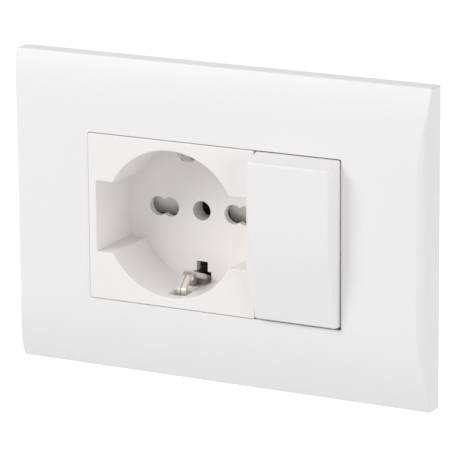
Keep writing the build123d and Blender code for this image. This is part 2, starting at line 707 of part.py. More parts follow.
def make_earth_contact():
    """The earth contact behind the centre hole, its leaves left and right, with a tab to its terminal."""
    half = CONTACT_BODY_HALF + CONTACT_THICK / 2
    pillar_top = PILLAR_LOW_Z + PILLAR_H
    tab_high = EARTH_TERMINAL_X + PILLAR_W / 2
    with BuildPart() as contact:
        with BuildSketch(plan(0, SOCKET_X)):
            with BuildLine():
                Polyline(*[(x, t) for t, x in clip_section()])
            trace(line_width=CONTACT_THICK)
        extrude(amount=EARTH_CONTACT_H / 2, both=True)
        with BuildSketch(front(CONTACT_BACK_T, SOCKET_X)):
            with Locations((0, (pillar_top - EARTH_CONTACT_H / 2) / 2)):
                Rectangle(2 * half, pillar_top + EARTH_CONTACT_H / 2)
            with Locations(((tab_high - half) / 2, PILLAR_LOW_Z + PILLAR_H / 2)):
                Rectangle(tab_high + half, PILLAR_H)
            with Locations((EARTH_TERMINAL_X, WIRE_HOLE_Z)):
                Circle(WIRE_HOLE_R, mode=Mode.SUBTRACT)
        extrude(amount=-CONTACT_THICK)
    return contact


def make_earth_strap():
    """The earth strap: one strip bent into both side clips, joined behind the earth contact."""
    run_t = STRAP_BACK_T + STRAP_THICK / 2
    upper = [
        (SOCKET_FACE_T - CLIP_TIP_DEPTH, CLIP_TIP_Z),
        (SOCKET_FACE_T - CLIP_FOOT_DEPTH, CLIP_FOOT_Z),
        (SOCKET_FACE_T - CLIP_PEAK_DEPTH, CLIP_PEAK_Z),
        (SPLIT_T, STRAP_Z),
        (run_t, STRAP_Z),
    ]
    lower = [(t, -z) for t, z in reversed(upper)]
    bends = [STRAP_THICK, CLIP_BEND_R, STRAP_BEND_R, STRAP_BEND_R]
    peak_t = SOCKET_FACE_T - CLIP_PEAK_DEPTH
    half_w, peak_half = STRAP_W / 2, CLIP_PEAK_W / 2
    with BuildPart() as earth_strap:
        with BuildSketch(side(SOCKET_X)):
            with BuildLine():
                FilletPolyline(*(upper + lower), radius=bends + bends[::-1])
            trace(line_width=STRAP_THICK)
        extrude(amount=STRAP_W, both=True)
        with BuildSketch(plan(0, SOCKET_X)):
            with BuildLine():
                Polyline(
                    (-half_w, BASE_REAR_T),
                    (half_w, BASE_REAR_T),
                    (half_w, peak_t - CLIP_TAPER_T),
                    (peak_half, peak_t),
                    (peak_half, SOCKET_FACE_T),
                    (-peak_half, SOCKET_FACE_T),
                    (-peak_half, peak_t),
                    (-half_w, peak_t - CLIP_TAPER_T),
                    close=True,
                )
            make_face()
        extrude(amount=FRONT_H, both=True, mode=Mode.INTERSECT)
    return earth_strap


def make_socket_terminals():
    """The socket's three brass pillars, each with a wire hole and a screw hole."""
    pillar_xs = (-POLE_TERMINAL_X, EARTH_TERMINAL_X, POLE_TERMINAL_X)
    mid_z = PILLAR_LOW_Z + PILLAR_H / 2
    screw_t = CONTACT_BACK_T + PILLAR_DEPTH / 2
    with BuildPart() as socket_terminals:
        with BuildSketch(front(CONTACT_BACK_T, SOCKET_X)):
            with Locations(*[(x, mid_z) for x in pillar_xs]):
                Rectangle(PILLAR_W, PILLAR_H)
            with Locations(*[(x, WIRE_HOLE_Z) for x in pillar_xs]):
                Circle(WIRE_HOLE_R, mode=Mode.SUBTRACT)
        extrude(amount=PILLAR_DEPTH)
        with BuildSketch(plan(PILLAR_LOW_Z + PILLAR_H, SOCKET_X)):
            with Locations(*[(x, screw_t) for x in pillar_xs]):
                Circle(TERMINAL_SCREW_R + THREAD_CLEARANCE)
        extrude(amount=PILLAR_LOW_Z + PILLAR_H - WIRE_HOLE_Z, mode=Mode.SUBTRACT)
    return socket_terminals


def clamp_screws(places, tip_z, head_z, way):
    """Clamping screws along Z at places (x, t), from tip to head, with their heads towards way."""
    with BuildPart() as screws:
        for radius, low, high in (
            (TERMINAL_SCREW_R, tip_z, head_z),
            (TERMINAL_HEAD_R, head_z, head_z + TERMINAL_HEAD_H),
        ):
            with BuildSketch(plan(way * low)):
                with Locations(*places):
                    Circle(radius)
            extrude(amount=-way * (high - low))
        with BuildSketch(plan(way * (head_z + TERMINAL_HEAD_H))):
            with Locations(*places):
                Rectangle(2 * TERMINAL_HEAD_R, DRIVE_SLOT_W)
        extrude(amount=way * DRIVE_SLOT_DEPTH, mode=Mode.SUBTRACT)
    return screws.part


def make_socket_terminal_screws():
    """The socket's three clamping screws, turned out far enough to let a wire in."""
    screw_t = CONTACT_BACK_T + PILLAR_DEPTH / 2
    pillar_xs = (-POLE_TERMINAL_X, EARTH_TERMINAL_X, POLE_TERMINAL_X)
    places = [(SOCKET_X + x, screw_t) for x in pillar_xs]
    tip_z = WIRE_HOLE_Z + WIRE_HOLE_R + TERMINAL_SCREW_TIP
    head_z = PILLAR_LOW_Z + PILLAR_H + TERMINAL_HEAD_GAP
    screws = clamp_screws(places, tip_z, head_z, 1)
    with BuildPart() as terminal_screws:
        add(screws)
    return terminal_screws


def key_form(inset):
    """The key's outer form, or the same form drawn in by its wall, open to the rear."""
    lean = KEY_THROW / 2
    edge_t = KEY_FRONT_T - KEY_EDGE_HALF * tan(radians(lean))
    slope = (KEY_REAR_HALF - KEY_EDGE_HALF) / (edge_t - KEY_REAR_T)
    rear_t = KEY_REAR_T - 4 * inset
    rear_half = KEY_REAR_HALF + slope * (KEY_REAR_T - rear_t) - inset
    key_half = SWITCH_W / 2 - KEY_CLEARANCE / 2
    depth = KEY_FRONT_T - KEY_REAR_T
    top_half = key_half - KEY_SIDE_TAPER
    bottom_half = key_half + KEY_SIDE_TAPER * (KEY_REAR_T - rear_t) / depth
    with BuildPart() as form:
        with BuildSketch(tilted_side(PIVOT_T, lean, SWITCH_X)):
            with BuildLine():
                FilletPolyline(
                    (rear_t, -rear_half),
                    (edge_t - inset, -KEY_EDGE_HALF + inset),
                    (KEY_FRONT_T - inset, 0),
                    (edge_t - inset, KEY_EDGE_HALF - inset),
                    (rear_t, rear_half),
                    radius=[0, KEY_EDGE_R, KEY_APEX_R, KEY_EDGE_R, 0],
                    close=True,
                )
            make_face()
        extrude(amount=MODULE_PITCH, both=True)
        with BuildSketch(tilted_plan(PIVOT_T, lean, SWITCH_X)):
            with BuildLine():
                Polyline(
                    (-bottom_half + inset, rear_t),
                    (bottom_half - inset, rear_t),
                    (top_half - inset, KEY_FRONT_T),
                    (-top_half + inset, KEY_FRONT_T),
                    close=True,
                )
            make_face()
        extrude(amount=FRONT_H, both=True, mode=Mode.INTERSECT)
    return form.part


def make_rocker_key():
    """The key cap: a ridged shell with bevelled walls and two posts that sit on the carrier."""
    outer, inner = key_form(0), key_form(KEY_WALL)
    lean = KEY_THROW / 2
    pivot = tilted(PIVOT_T, lean, SWITCH_X)
    own_axis = Axis(pivot.origin, pivot.z_dir)
    with BuildPart() as rocker_key:
        add(outer)
        side_edges = rocker_key.edges().filter_by(Axis.X, reverse=True).sort_by(own_axis)
        fillet(side_edges[2:], KEY_EDGE_R)
        add(inner, mode=Mode.SUBTRACT)
        with BuildSketch(tilted(PIVOT_T, lean, SWITCH_X, CARRIER_LOW_T + CARRIER_THICK)):
            with GridLocations(0, 2 * POST_Z, 1, 2):
                Rectangle(POST_W, POST_THICK)
        extrude(until=Until.NEXT)
    return rocker_key


def make_rocker_carrier():
    """The carrier: a plate with two cheeks, their trunnions, and the tube that guides the plunger."""
    lean = KEY_THROW / 2
    with BuildPart() as rocker_carrier:
        with BuildSketch(tilted(PIVOT_T, lean, SWITCH_X, CARRIER_LOW_T)):
            Rectangle(2 * CARRIER_HALF_X, 2 * CARRIER_HALF_Z)
        extrude(amount=CARRIER_THICK)
        with BuildSketch(tilted_side(PIVOT_T, lean, SWITCH_X)):
            Circle(CHEEK_R)
            with Locations((CARRIER_LOW_T / 2, 0)):
                Rectangle(CARRIER_LOW_T, 2 * CHEEK_R)
        extrude(amount=CARRIER_HALF_X, both=True)
        with BuildSketch(tilted_side(PIVOT_T, lean, SWITCH_X)):
            with Locations(((CARRIER_LOW_T - CHEEK_R) / 2, 0)):
                Rectangle(CARRIER_LOW_T + CHEEK_R, 2 * CHEEK_R)
        extrude(amount=CARRIER_HALF_X - CHEEK_THICK, both=True, mode=Mode.SUBTRACT)
        with BuildSketch(tilted_side(PIVOT_T, lean, SWITCH_X)):
            Circle(TRUNNION_R)
        trunnion_reach = CARRIER_HALF_X + EAR_GAP + EAR_THICK
        extrude(amount=trunnion_reach, both=True)
        with BuildSketch(tilted_side(PIVOT_T, lean, SWITCH_X)):
            Circle(TRUNNION_R)
        extrude(amount=CARRIER_HALF_X - CHEEK_THICK, both=True, mode=Mode.SUBTRACT)
        with BuildSketch(tilted(PIVOT_T, lean, SWITCH_X, TUBE_END_T)):
            Circle(TUBE_R)
        extrude(amount=CARRIER_LOW_T - TUBE_END_T)
        with BuildSketch(tilted(PIVOT_T, lean, SWITCH_X, TUBE_END_T)):
            Circle(TUBE_BORE_R)
        extrude(amount=TUBE_ROOF_T - TUBE_END_T, mode=Mode.SUBTRACT)
    return rocker_carrier


def make_plunger():
    """The plunger: a turned pin with a cone and a ball tip, along the key's own axis."""
    tip_t = PLUNGER_TIP_CENTRE_T - PLUNGER_TIP_R
    with BuildPart() as plunger:
        with BuildSketch(tilted_plan(PIVOT_T, KEY_THROW / 2, SWITCH_X)):
            with BuildLine():
                Polyline(
                    (0, PLUNGER_BACK_T),
                    (PLUNGER_R, PLUNGER_BACK_T),
                    (PLUNGER_R, PLUNGER_SHOULDER_T),
                    (PLUNGER_TIP_R, PLUNGER_TIP_CENTRE_T),
                )
                RadiusArc((PLUNGER_TIP_R, PLUNGER_TIP_CENTRE_T), (0, tip_t), PLUNGER_TIP_R)
                Line((0, tip_t), (0, PLUNGER_BACK_T))
            make_face()
        own_axis = tilted(PIVOT_T, KEY_THROW / 2, SWITCH_X)
        revolve(axis=Axis(own_axis.origin, own_axis.z_dir))
    return plunger


def make_plunger_spring():
    """The spring in the carrier's tube that pushes the plunger out."""
    seat = tilted(PIVOT_T, KEY_THROW / 2, SWITCH_X, PLUNGER_BACK_T)
    length = TUBE_ROOF_T - PLUNGER_BACK_T
    spring = coil(seat, length, PLUNGER_SPRING_R, PLUNGER_WIRE_D, PLUNGER_SPRING_TURNS)
    with BuildPart() as plunger_spring:
        add(spring)
    return plunger_spring


def make_moving_contact():
    """The see-saw bar, tilted by the plunger, with a hole for its rivet."""
    with BuildPart() as moving_contact:
        with BuildSketch(tilted(KNIFE_T, -SEESAW_TILT, SWITCH_X, SEESAW_OUTER - SEESAW_THICK)):
            RectangleRounded(SEESAW_W, 2 * SEESAW_HALF, SEESAW_W / 3)
            with Locations((0, -RIVET_Z)):
                Circle(RIVET_SHANK_R, mode=Mode.SUBTRACT)
        extrude(amount=SEESAW_THICK)
    return moving_contact


def make_rivet(plane, thickness):
    """A contact rivet set through a strip from the plane of its contact side, with an upset tail."""
    with BuildPart() as rivet:
        for radius, low, high in (
            (RIVET_R, -RIVET_H, 0),
            (RIVET_SHANK_R, 0, thickness),
            (RIVET_TAIL_R, thickness, thickness + RIVET_TAIL_H),
        ):
            with BuildSketch(plane.offset(low)):
                Circle(radius)
            extrude(amount=high - low)
    return rivet


def make_switch_cover():
    """The switch's front tray: rim, teeth, a slot for the tube and two ears for the trunnions."""
    tray_h = FRONT_H - SEAM
    ear_low = CARRIER_HALF_X + EAR_GAP
    with BuildPart() as switch_cover:
        with BuildSketch(front(SWITCH_SPLIT_T, SWITCH_X)):
            Rectangle(SWITCH_W, tray_h)
        extrude(amount=TRAY_RIM_T - SWITCH_SPLIT_T)
        with BuildSketch(front(SWITCH_SPLIT_T + TRAY_FLOOR, SWITCH_X)):
            Rectangle(SWITCH_W - 2 * TRAY_RIM, tray_h - 2 * TRAY_RIM)
        extrude(amount=TRAY_RIM_T, mode=Mode.SUBTRACT)
        with BuildSketch(front(SWITCH_SPLIT_T, SWITCH_X)):
            Rectangle(2 * TRAY_SLOT_X, 2 * TRAY_SLOT_Z)
        extrude(amount=TRAY_FLOOR, mode=Mode.SUBTRACT)
        for way in (1, -1):
            with BuildSketch(side(SWITCH_X + way * (ear_low + EAR_THICK / 2))):
                with Locations((PIVOT_T, 0)):
                    Circle(EAR_R)
                with Locations(((PIVOT_T + SWITCH_SPLIT_T) / 2, 0)):
                    Rectangle(PIVOT_T - SWITCH_SPLIT_T, 2 * EAR_R)
                with Locations((PIVOT_T, 0)):
                    Circle(TRUNNION_R + TRUNNION_CLEARANCE, mode=Mode.SUBTRACT)
            extrude(amount=EAR_THICK / 2, both=True)
        with BuildSketch(side(SWITCH_X)):
            for way in (1, -1):
                with BuildLine():
                    Polyline(*tooth_outline(tray_h / 2, way), close=True)
                make_face()
        extrude(amount=TOOTH_W / 2, both=True)
    return switch_cover


def make_switch_base():
    """The switch's rear housing: a chamber with a stop post, a pad, wire holes and screw holes."""
    screw_t = SWITCH_PILLAR_FRONT_T - PILLAR_DEPTH / 2
    pillar_mid = SWITCH_PILLAR_Z + PILLAR_H / 2
    wire_z = SWITCH_PILLAR_Z + WIRE_HOLE_RISE
    pad_t = SWITCH_PILLAR_FRONT_T - PILLAR_DEPTH
    tilt = radians(SEESAW_TILT)
    inner = SEESAW_OUTER - SEESAW_THICK
    stop_t = KNIFE_T + inner * cos(tilt) - (STOP_Z + STOP_THICK / 2) * tan(tilt) - STOP_GAP
    base_w, base_h = SWITCH_W - 2 * BASE_STEP, FRONT_H - 2 * BASE_STEP
    with BuildPart() as switch_base:
        with BuildSketch(front(SWITCH_REAR_T, SWITCH_X)):
            Rectangle(base_w, base_h)
        extrude(amount=SWITCH_SPLIT_T - SWITCH_REAR_T)
        fillet(switch_base.faces().sort_by(Axis.Y)[-1].edges(), BASE_CORNER_R)
        with BuildSketch(front(CHAMBER_T, SWITCH_X)):
            Rectangle(2 * CHAMBER_HALF_X, 2 * CHAMBER_HALF_Z)
        extrude(amount=SWITCH_SPLIT_T - CHAMBER_T, mode=Mode.SUBTRACT)
        with BuildSketch(front(CHAMBER_T, SWITCH_X, STOP_Z)):
            Rectangle(STOP_W, STOP_THICK)
        extrude(amount=stop_t - CHAMBER_T)
        with BuildSketch(front(CHAMBER_T, SWITCH_X, -pillar_mid)):
            Rectangle(PILLAR_W, PILLAR_H)
        extrude(amount=pad_t - CHAMBER_T)
        with BuildSketch(front(SWITCH_REAR_T, SWITCH_X)):
            with Locations((0, wire_z), (0, -wire_z)):
                Circle(WIRE_HOLE_R)
        extrude(amount=pad_t - SWITCH_REAR_T, mode=Mode.SUBTRACT)
        for way in (1, -1):
            with BuildSketch(plan(way * CHAMBER_HALF_Z, SWITCH_X)):
                with Locations((0, screw_t)):
                    Circle(TERMINAL_HEAD_R + HEAD_CLEARANCE)
            extrude(amount=way * (CHAMBER_HALF_Z - base_h / 2), mode=Mode.SUBTRACT)
    return switch_base


def make_common_terminal():
    """The common strip: from under its pillar, round the stop post, then up into the knife edge."""
    strip_t = SWITCH_PILLAR_FRONT_T - PILLAR_DEPTH
    pillar_far = SWITCH_PILLAR_Z + PILLAR_H
    knife_t = KNIFE_T - KNIFE_BELOW
    with BuildPart() as common_terminal:
        with BuildSketch(front(strip_t - STRIP_THICK, SWITCH_X)):
            with Locations((0, (pillar_far - KNIFE_R) / 2)):
                Rectangle(STRIP_W, pillar_far + KNIFE_R)
            with Locations((0, SWITCH_PILLAR_Z + WIRE_HOLE_RISE)):
                Circle(WIRE_HOLE_R, mode=Mode.SUBTRACT)
            with Locations((0, STOP_Z)):
                Rectangle(
                    STOP_W + 2 * POCKET_CLEARANCE,
                    STOP_THICK + 2 * POCKET_CLEARANCE,
                    mode=Mode.SUBTRACT,
                )
        extrude(amount=STRIP_THICK)
        with BuildSketch(side(SWITCH_X)):
            with Locations((knife_t, 0)):
                Circle(KNIFE_R)
            with Locations(((knife_t + strip_t) / 2, 0)):
                Rectangle(knife_t - strip_t, 2 * KNIFE_R)
        extrude(amount=SEESAW_W / 2 - POCKET_CLEARANCE, both=True)
    return common_terminal


def fixed_strip_t():
    """The height of the outgoing strip's front, under the moving rivet's closed place."""
    tilt = radians(SEESAW_TILT)
    rivet_foot = SEESAW_OUTER - SEESAW_THICK - RIVET_H
    closed_t = KNIFE_T + rivet_foot * cos(tilt) - RIVET_Z * sin(tilt)
    return closed_t - RIVET_R * sin(tilt) - CONTACT_GAP - RIVET_H


def make_fixed_terminal():
    """The outgoing strip: it lies on its pillar and carries the fixed rivet."""
    strip_t = fixed_strip_t()
    low, high = -SWITCH_PILLAR_Z - PILLAR_H, -RIVET_Z + RIVET_R + STRIP_THICK
    with BuildPart() as fixed_terminal:
        with BuildSketch(front(strip_t, SWITCH_X)):
            with Locations((0, (low + high) / 2)):
                Rectangle(STRIP_W, high - low)
            with Locations((0, -RIVET_Z)):
                Circle(RIVET_SHANK_R, mode=Mode.SUBTRACT)
        extrude(amount=-STRIP_THICK)
    return fixed_terminal


def make_switch_terminals():
    """The switch's two brass pillars, the upper on the common strip, the lower under the outgoing one."""
    screw_t = SWITCH_PILLAR_FRONT_T - PILLAR_DEPTH / 2
    pillar_mid = SWITCH_PILLAR_Z + PILLAR_H / 2
    pillar_far = SWITCH_PILLAR_Z + PILLAR_H
    wire_z = SWITCH_PILLAR_Z + WIRE_HOLE_RISE
    lower_front_t = fixed_strip_t() - STRIP_THICK
    with BuildPart() as switch_terminals:
        for way, front_t in ((1, SWITCH_PILLAR_FRONT_T), (-1, lower_front_t)):
            rear_t = SWITCH_PILLAR_FRONT_T - PILLAR_DEPTH
            with BuildSketch(front(rear_t, SWITCH_X)):
                with Locations((0, way * pillar_mid)):
                    Rectangle(PILLAR_W, PILLAR_H)
                with Locations((0, way * wire_z)):
                    Circle(WIRE_HOLE_R, mode=Mode.SUBTRACT)
            extrude(amount=front_t - rear_t)
            with BuildSketch(plan(way * pillar_far, SWITCH_X)):
                with Locations((0, screw_t)):
                    Circle(TERMINAL_SCREW_R + THREAD_CLEARANCE)
            extrude(amount=way * (pillar_far - wire_z), mode=Mode.SUBTRACT)
    return switch_terminals


def make_switch_terminal_screws():
    """The switch's two clamping screws, one driven from above and one from below."""
    screw_t = SWITCH_PILLAR_FRONT_T - PILLAR_DEPTH / 2
    tip_z = SWITCH_PILLAR_Z + WIRE_HOLE_RISE + WIRE_HOLE_R + TERMINAL_SCREW_TIP
    head_z = SWITCH_PILLAR_Z + PILLAR_H + TERMINAL_HEAD_GAP
    screws = [clamp_screws([(SWITCH_X, screw_t)], tip_z, head_z, way) for way in (1, -1)]
    with BuildPart() as terminal_screws:
        add(screws)
    return terminal_screws


def main():
    os.makedirs("parts", exist_ok=True)
    finish(make_cover_plate(), "cover_plate")
    finish(make_mounting_frame(), "mounting_frame")
    finish(make_box_screws(), "box_screws")
    finish(make_socket_front(), "socket_front")
    finish(make_socket_base(), "socket_base")
    finish(make_housing_screws(), "socket_housing_screws")
    finish(make_shutter(), "shutter")
    finish(make_shutter_springs(), "shutter_springs")
    finish(make_pole_contact(-1), "live_contact")
    finish(make_pole_contact(1), "neutral_contact")
    finish(make_earth_contact(), "earth_contact")
    finish(make_earth_strap(), "earth_strap")
    finish(make_socket_terminals(), "socket_terminals")
    finish(make_socket_terminal_screws(), "socket_terminal_screws")
    finish(make_rocker_key(), "rocker_key")
    finish(make_rocker_carrier(), "rocker_carrier")
    finish(make_plunger(), "plunger")
    finish(make_plunger_spring(), "plunger_spring")
    finish(make_moving_contact(), "moving_contact")
    moving_side = tilted(KNIFE_T, -SEESAW_TILT, SWITCH_X, SEESAW_OUTER - SEESAW_THICK)
    moving_place = Plane(
        origin=moving_side.from_local_coords((0, -RIVET_Z, 0)),
        x_dir=moving_side.x_dir,
        z_dir=moving_side.z_dir,
    )
    finish(make_rivet(moving_place, SEESAW_THICK), "moving_rivet")
    fixed_place = Plane(
        origin=(SWITCH_X, -fixed_strip_t(), -RIVET_Z), x_dir=(1, 0, 0), z_dir=(0, 1, 0)
    )
    finish(make_rivet(fixed_place, STRIP_THICK), "fixed_rivet")
    finish(make_switch_cover(), "switch_cover")
    finish(make_switch_base(), "switch_base")
    finish(make_common_terminal(), "common_terminal")
    finish(make_fixed_terminal(), "fixed_terminal")
    finish(make_switch_terminals(), "switch_terminals")
    finish(make_switch_terminal_screws(), "switch_terminal_screws")


main()
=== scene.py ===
"""Switch and socket combination: finishes, earth strap, springs, screws, studio and camera.

Metres, in the part's own frame: the origin is on the wall between the box screws,
+X is to the right of someone who faces the wall, +Y goes into the wall, +Z is up.
"""

import math
from typing import NamedTuple

import bmesh
import bpy
from bpy.props import FloatProperty, FloatVectorProperty, PointerProperty
from mathutils import Matrix, Vector


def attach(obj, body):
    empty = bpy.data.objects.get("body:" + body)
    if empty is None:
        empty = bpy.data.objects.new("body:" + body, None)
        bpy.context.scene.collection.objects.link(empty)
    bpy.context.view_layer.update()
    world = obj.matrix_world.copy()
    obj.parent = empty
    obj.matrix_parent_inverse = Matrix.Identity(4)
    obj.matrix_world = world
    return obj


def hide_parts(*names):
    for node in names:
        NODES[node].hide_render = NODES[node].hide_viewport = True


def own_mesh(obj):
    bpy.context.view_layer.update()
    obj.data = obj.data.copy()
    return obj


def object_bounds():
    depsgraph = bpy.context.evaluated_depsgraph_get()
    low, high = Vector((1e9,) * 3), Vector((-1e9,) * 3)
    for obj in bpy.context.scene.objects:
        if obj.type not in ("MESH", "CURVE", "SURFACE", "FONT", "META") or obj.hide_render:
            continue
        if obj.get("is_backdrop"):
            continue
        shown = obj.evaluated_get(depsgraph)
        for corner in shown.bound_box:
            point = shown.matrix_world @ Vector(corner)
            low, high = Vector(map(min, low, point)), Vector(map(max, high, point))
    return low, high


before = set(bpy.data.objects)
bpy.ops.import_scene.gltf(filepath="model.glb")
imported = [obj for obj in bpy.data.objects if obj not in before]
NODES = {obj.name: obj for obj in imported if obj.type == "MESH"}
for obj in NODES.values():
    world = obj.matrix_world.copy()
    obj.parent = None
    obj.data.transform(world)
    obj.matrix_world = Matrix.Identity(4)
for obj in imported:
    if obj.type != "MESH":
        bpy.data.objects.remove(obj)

bl_info = {
    "name": "Wall Unit Finisher",
    "version": (1, 0, 0),
    "blender": (4, 5, 0),
    "location": "3D View > Sidebar > Wall Unit",
    "description": "Finishes, strap, springs, screws and studio for a switch and socket unit",
    "category": "Material",
}

WHITE_SHELL = (("cover_plate", "plate"), ("socket_front", "front"), ("rocker_key", "key"))
GREY_HOUSINGS = ("socket_base", "switch_base")
INNER_MOULDINGS = ("switch_cover", "rocker_carrier", "plunger")
CONTACT_STRIPS = (
    "live_contact",
    "neutral_contact",
    "earth_contact",
    "moving_contact",
    "common_terminal",
    "fixed_terminal",
)
BRASS_PILLARS = ("socket_terminals", "switch_terminals")
SILVER_RIVETS = ("moving_rivet", "fixed_rivet")

MM = 0.001


class ScrewForm(NamedTuple):
    """A kind of screw, in millimetres, measured from its tip along its own axis."""

    name: str
    node: str
    shank_radius: float
    shank_length: float
    neck_radius: float
    neck_length: float
    pitch: float
    head_radius: float
    head_height: float
    crown: float
    slot_turn: float
    tips: tuple
    direction: tuple


TERMINAL_SCREW = ScrewForm(
    name="Socket_Terminal_Screws",
    node="socket_terminal_screws",
    shank_radius=1.5,
    shank_length=3.9,
    neck_radius=1.5,
    neck_length=0.0,
    pitch=0.5,
    head_radius=2.3,
    head_height=2.0,
    crown=0.3,
    slot_turn=0.0,
    tips=((-31.6, 24.5, 11.3), (-4.3, 24.5, 11.3), (7.0, 24.5, 11.3)),
    direction=(0.0, 0.0, 1.0),
)
SCREWS = (
    ScrewForm(
        name="Box_Screws",
        node="box_screws",
        shank_radius=1.75,
        shank_length=23.4,
        neck_radius=1.55,
        neck_length=1.6,
        pitch=0.6,
        head_radius=3.2,
        head_height=2.0,
        crown=0.66,
        slot_turn=35.0,
        tips=((-41.75, 23.4, 0.0), (41.75, 23.4, 0.0)),
        direction=(0.0, -1.0, 0.0),
    ),
    ScrewForm(
        name="Socket_Housing_Screws",
        node="socket_housing_screws",
        shank_radius=1.45,
        shank_length=23.9,
        neck_radius=1.45,
        neck_length=0.0,
        pitch=1.1,
        head_radius=2.5,
        head_height=1.6,
        crown=0.3,
        slot_turn=0.0,
        tips=((-32.9, 1.4, -18.4), (8.3, 1.4, -18.4)),
        direction=(0.0, 1.0, 0.0),
    ),
    TERMINAL_SCREW,
    TERMINAL_SCREW._replace(
        name="Switch_Upper_Terminal_Screw",
        node="switch_terminal_screws",
        tips=((24.6, 15.9, 14.5),),
    ),
    TERMINAL_SCREW._replace(
        name="Switch_Lower_Terminal_Screw",
        node="switch_terminal_screws",
        tips=((24.6, 15.9, -14.5),),
        direction=(0.0, 0.0, -1.0),
    ),
)
SCREW_SIDES = 32
SLOT_WIDTH = 0.8
SLOT_DEPTH = 0.9
SLOT_OVERSHOOT = 0.5
HEAD_CHAMFER = 0.12
CROWN_STEPS = 5

# One turn of a thread, as (share of the pitch, whether it is at the crest)
THREAD_PROFILE = ((0.0, False), (0.12, False), (0.44, True), (0.62, True))

# Vertices of a screw nearer than this, in millimetres, become one
WELD_DISTANCE = 0.0005


class SpringForm(NamedTuple):
    """A kind of coil spring, in millimetres: its feet, and the joint whose travel presses it."""

    name: str
    node: str
    body: str
    joint: str
    feet: tuple
    axis: tuple
    length: float
    radius: float
    wire: float
    turns: int
    travel: float


SPRINGS = (
    SpringForm(
        name="Shutter_Springs",
        node="shutter_springs",
        body="wall_unit",
        joint="shutter_slide",
        feet=((-31.0, 12.3, -1.0), (6.4, 12.3, -1.0)),
        axis=(0.0, 0.0, 1.0),
        length=15.5,
        radius=1.5,
        wire=0.4,
        turns=9,
        travel=6.0,
    ),
    SpringForm(
        name="Plunger_Spring",
        node="plunger_spring",
        body="key",
        joint="plunger_slide",
        feet=((24.6, -2.6157, 0.3259),),
        axis=(0.0, -0.995396, -0.095846),
        length=6.0,
        radius=1.4,
        wire=0.4,
        turns=5,
        travel=0.6,
    ),
)
WIRE_SIDES = 12
COIL_STEPS = 30

# The earth strap's upper half, in millimetres, as (height in front of the wall, height up),
# from the clip's tip to the rear run, with the radius of the bend at each inner corner
STRAP_CORNERS = ((3.1, 20.5), (2.9, 18.8), (-0.9, 14.9), (-10.4, 18.4), (-29.0, 18.4))
STRAP_BENDS = (0.8, 2.0, 1.3, 1.3)
STRAP_MIDDLE = -12.3
STRAP_THICKNESS = 0.8
STRAP_HALF_WIDTH = 2.0
CLIP_HALF_WIDTH = 1.38
CLIP_TAPER = (-6.9, -0.9)
BEND_STEP = math.radians(8.0)
CORNER_STEPS = 4

# The pressed groove beside the strap's left edge, as (from the edge, below the face)
STRAP_GROOVE = ((1.3, 0.0), (1.05, 0.34), (0.85, 0.1), (0.12, -0.02), (0.0, 0.12))

# The lip turned away from the face along the right edge of each clip's rear leg: its outline
# from the edge, its depth, and its share of that depth at heights in front of the wall
LIP_WIDTH = (0.95, 0.75)
LIP_CREASE = 0.02
LIP_DEPTH = 0.75
LIP_ENDS = ((-2.0, 0.0), (-3.2, 1.0), (-8.6, 1.0), (-9.8, 0.0))

# Shading breaks at edges sharper than this
SHARP_ANGLE = math.radians(40.0)

# The studio, in metres, in the part's own frame
KEY_PLACE = (-0.77, -0.98, 0.84)
KEY_SIZE = 0.7
FILL_PLACE = (0.95, -0.36, 0.12)
FILL_SIZE = 0.5
FLOOR_REACH = 4.0
FLOOR_LIFT = 0.6
CAMERA_AIM = (-0.000167, 0.0, -0.001263)
WHITE = (1.0, 1.0, 1.0, 1.0)


def tint(name, description, default):
    """A colour setting."""
    return FloatVectorProperty(
        name=name,
        description=description,
        subtype="COLOR",
        size=3,
        min=0.0,
        max=1.0,
        default=default,
    )


class ShellSettings(bpy.types.PropertyGroup):
    """The white mouldings that the room sees."""

    plate: tint("Cover plate", "White of the cover plate", (0.9, 0.888, 0.889))
    front: tint("Socket front", "White of the socket front", (0.918, 0.9, 0.886))
    key: tint("Rocker key", "White of the rocker key", (0.895, 0.882, 0.886))
    roughness: FloatProperty(
        name="Roughness",
        description="How far the satin gloss of the white plastic is blurred",
        subtype="FACTOR",
        min=0.0,
        max=1.0,
        default=0.34,
    )
    grain: FloatProperty(
        name="Grain size",
        description="Size of the fine mould texture",
        subtype="DISTANCE",
        unit="LENGTH",
        default=0.0004,
        precision=5,
    )


class HousingSettings(bpy.types.PropertyGroup):
    """The mouldings inside the wall box."""

    # Painted shade: this grey is darker than the housings' own pale grey, so the hollow seen
    # through the wall window under the strap's rear leg looks dark
    housing: tint("Housing", "Colour of the rear housings", (0.28, 0.28, 0.275))
    support: tint("Support frame", "Colour of the glass filled support frame", (0.33, 0.335, 0.34))
    inner: tint("Inner mouldings", "Colour of the tray, carrier and plunger", (0.66, 0.65, 0.62))
    shutter: tint("Shutter", "Colour of the shutter behind the pin holes", (0.9, 0.895, 0.86))


class MetalSettings(bpy.types.PropertyGroup):
    """The strips, pillars, rivets, screws and springs."""

    nickel: tint("Nickel", "Colour of the plated earth strap", (0.66, 0.6, 0.545))
    # A dull bronze, partly the strips' own metal and partly painted shade: it is set darker than
    # their brass tone, so the contacts deep in the pin holes look nearly black
    bronze_and_painted_shade: tint("Bronze", "Colour of the contact strips", (0.44, 0.37, 0.3))
    brass: tint("Brass", "Colour of the terminal pillars", (0.72, 0.5, 0.22))
    silver: tint("Silver", "Colour of the contact rivets", (0.83, 0.82, 0.8))
    zinc: tint("Zinc", "Colour of the plated screws", (0.6, 0.61, 0.62))
    wire: tint("Spring wire", "Colour of the drawn spring wire", (0.5, 0.5, 0.5))
    thread_depth: FloatProperty(
        name="Thread depth",
        description="Depth of the screws' thread as a share of its pitch",
        subtype="FACTOR",
        min=0.1,
        max=0.6,
        default=0.5,
    )
    strap_edge: FloatProperty(
        name="Strap edge",
        description="Radius of the earth strap's coined edges",
        subtype="DISTANCE",
        unit="LENGTH",
        min=0.00005,
        max=0.00034,
        default=0.0003,
        precision=5,
    )


